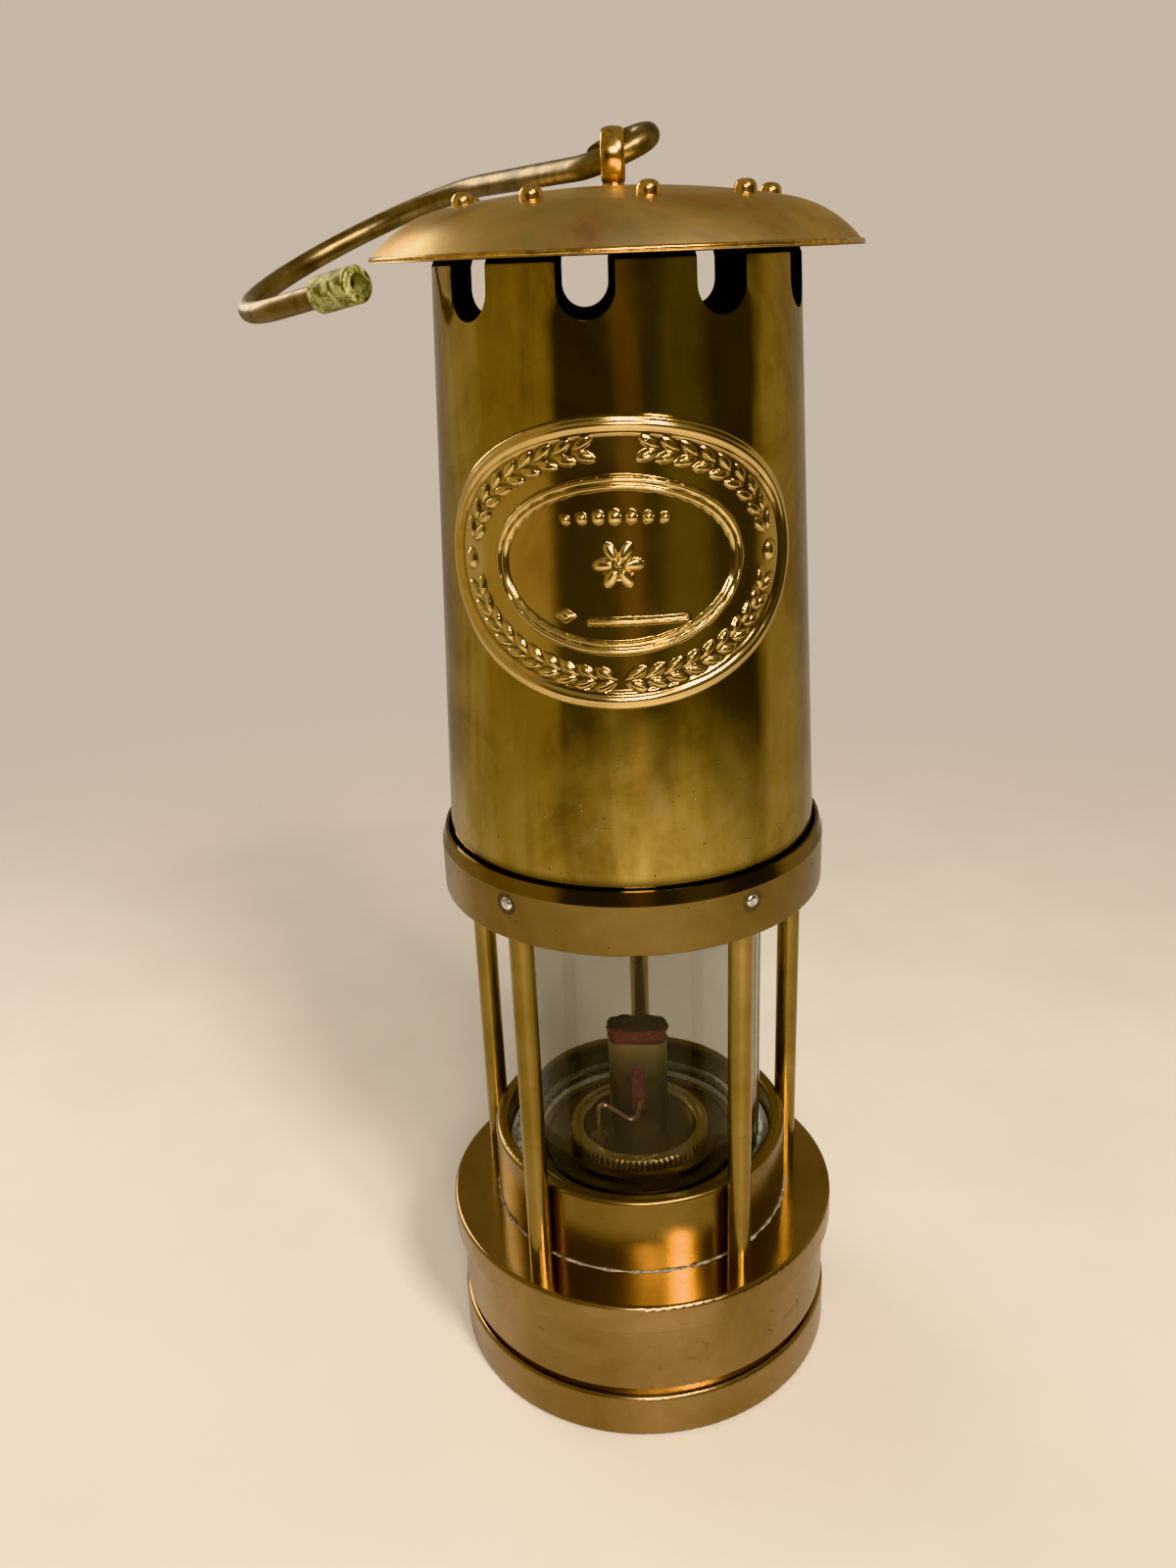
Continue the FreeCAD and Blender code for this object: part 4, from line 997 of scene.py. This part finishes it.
def build_pin_dark_rings(material):
    """A dark ring round each of the five pins in the upper ring."""
    verts, faces = [], []
    low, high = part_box("ring_pins")
    pin_height = (low.z + high.z) / 2 / MM
    pins, steps, ring_radius = 5, 40, 40.75
    profile = [(1.42, -0.05), (1.75, 0.10), (2.15, 0.045), (2.5, -0.05)]
    for pin in range(pins):
        middle = math.radians(360 / pins * (pin + 0.5))
        start = len(verts)
        for distance, lift in profile:
            for k in range(steps):
                angle = 2 * math.pi * k / steps
                reach = distance * (1 + 0.10 * smooth_noise(angle, 3, pin + 1) * (distance > 2))
                side, up = reach * math.cos(angle), reach * math.sin(angle)
                radius = ring_radius + lift
                turn = middle + side / radius
                verts.append((radius * math.sin(turn), -radius * math.cos(turn), pin_height + up))
        for a, b, c, d in loops_to_faces(len(profile), steps, close_rows=True):
            faces.append((start + a, start + d, start + c, start + b))
    new_piece("pin_dark_ring", verts, faces, "glass_frame", material)


# ---------------------------------------------------------------- putting it together

def dress_nodes():
    """Gives every CAD node that stays its material."""
    def flat_top(g):
        return g.step(g.split(g.node("NewGeometry").outputs["Normal"])[2], 0.35, 0.95)

    def bevel(g):
        z = g.split(g.coordinates())[2]
        return g.calc("MULTIPLY", g.step(z, 129.5, 129.7), g.step(z, 132.9, 132.5))

    ring_brass = turned_brass("ring_brass", (0.29, 0.20, 0.088), (0.17, 0.11, 0.042), (0.18, 0.31))
    bevel_brass = turned_brass("bevel_brass", (0.28, 0.20, 0.095), (0.165, 0.11, 0.046), (0.20, 0.32),
                               0.008, bevel)
    base_brass = turned_brass("base_brass", (0.37, 0.255, 0.13), (0.235, 0.155, 0.07), (0.23, 0.36),
                              0.010, flat_top)
    dark_brass = turned_brass("burner_brass", (0.22, 0.165, 0.075), (0.12, 0.088, 0.038), (0.24, 0.36))
    pillar_brass = turned_brass("pillar_brass", (0.37, 0.265, 0.11), (0.20, 0.135, 0.048),
                                (0.17, 0.30), 0.004)
    # The burner plate's brass is much darker than the rest.
    plate_brass = turned_brass("dark_plate_brass", (0.13, 0.10, 0.055), (0.055, 0.042, 0.024),
                               (0.26, 0.40))
    rod = rod_brass()
    bright = bright_brass()
    washer = fibre("fibre_washer", [(0.35, (0.42, 0.40, 0.36)), (0.65, (0.74, 0.72, 0.67))])
    chosen = {
        "oil_vessel": base_brass, "base_ring": base_brass, "glass_collar": ring_brass,
        "upper_ring": bevel_brass, "vessel_lid": dark_brass, "burner_plate": plate_brass,
        "wick_tube": lower_dark_tube_brass(), "pricker_tube": dark_brass, "pricker_knob": ring_brass,
        "gauze_ring": dark_brass, "pricker_wire": copper_wire(), "lamp_glass": lamp_glass(),
        "lower_gasket": washer, "upper_gasket": washer, "inner_gauze": gauze_steel(),
        "ring_pins": steel("steel_pin", (0.45, 0.44, 0.42), (0.80, 0.79, 0.77), (0.12, 0.25)),
        "bonnet_tube": bonnet_brass(), "hood": hood_brass(), "hood_rivets": bright,
        "swivel_nut": dark_brass, "hook_rod": rod, "hook_ferrule": green_brass(),
        "fuel_wadding": fibre("wadding", [(0.35, (0.52, 0.47, 0.38)), (0.65, (0.78, 0.74, 0.64))], 0.5),
    }
    for index in range(1, 6):
        chosen["pillar_%d" % index] = pillar_brass
    for name, material in chosen.items():
        mesh = NODES[name].data
        mesh.materials.clear()
        mesh.materials.append(material)


def build_pieces():
    """Makes the pieces that stand in for CAD nodes, and the small ones that CAD doesn't have."""
    build_badge(badge_brass())
    build_burner_ring(knurl_brass())
    build_wick(wick_cotton())
    build_outer_gauze(steel("gauze_wire", (0.06, 0.055, 0.05), (0.24, 0.23, 0.22), (0.35, 0.6)))
    flux = fibre("dry_flux", [(0.40, (0.10, 0.08, 0.055)), (0.64, (0.46, 0.43, 0.37))], 0.2)
    build_crumb_ring("collar_flux", 34.05, 37.1, 0.85, 0.5, 3, flux)
    salts = fibre("pale_crumbs", [(0.35, (0.36, 0.38, 0.31)), (0.62, (0.72, 0.75, 0.66))], 0.3)
    build_crumb_ring("gasket_crumbs", 28.2, 50.2, 2.0, 1.3, 8, salts)
    build_hood_lip(bright_brass())
    build_eye(bright_brass())
    build_pin_dark_rings(pin_dark_ring())


place_camera()
build_world()
light_studio()
lay_floor()
dress_nodes()
build_pieces()
bpy.context.scene.view_settings.view_transform = "Khronos PBR Neutral"
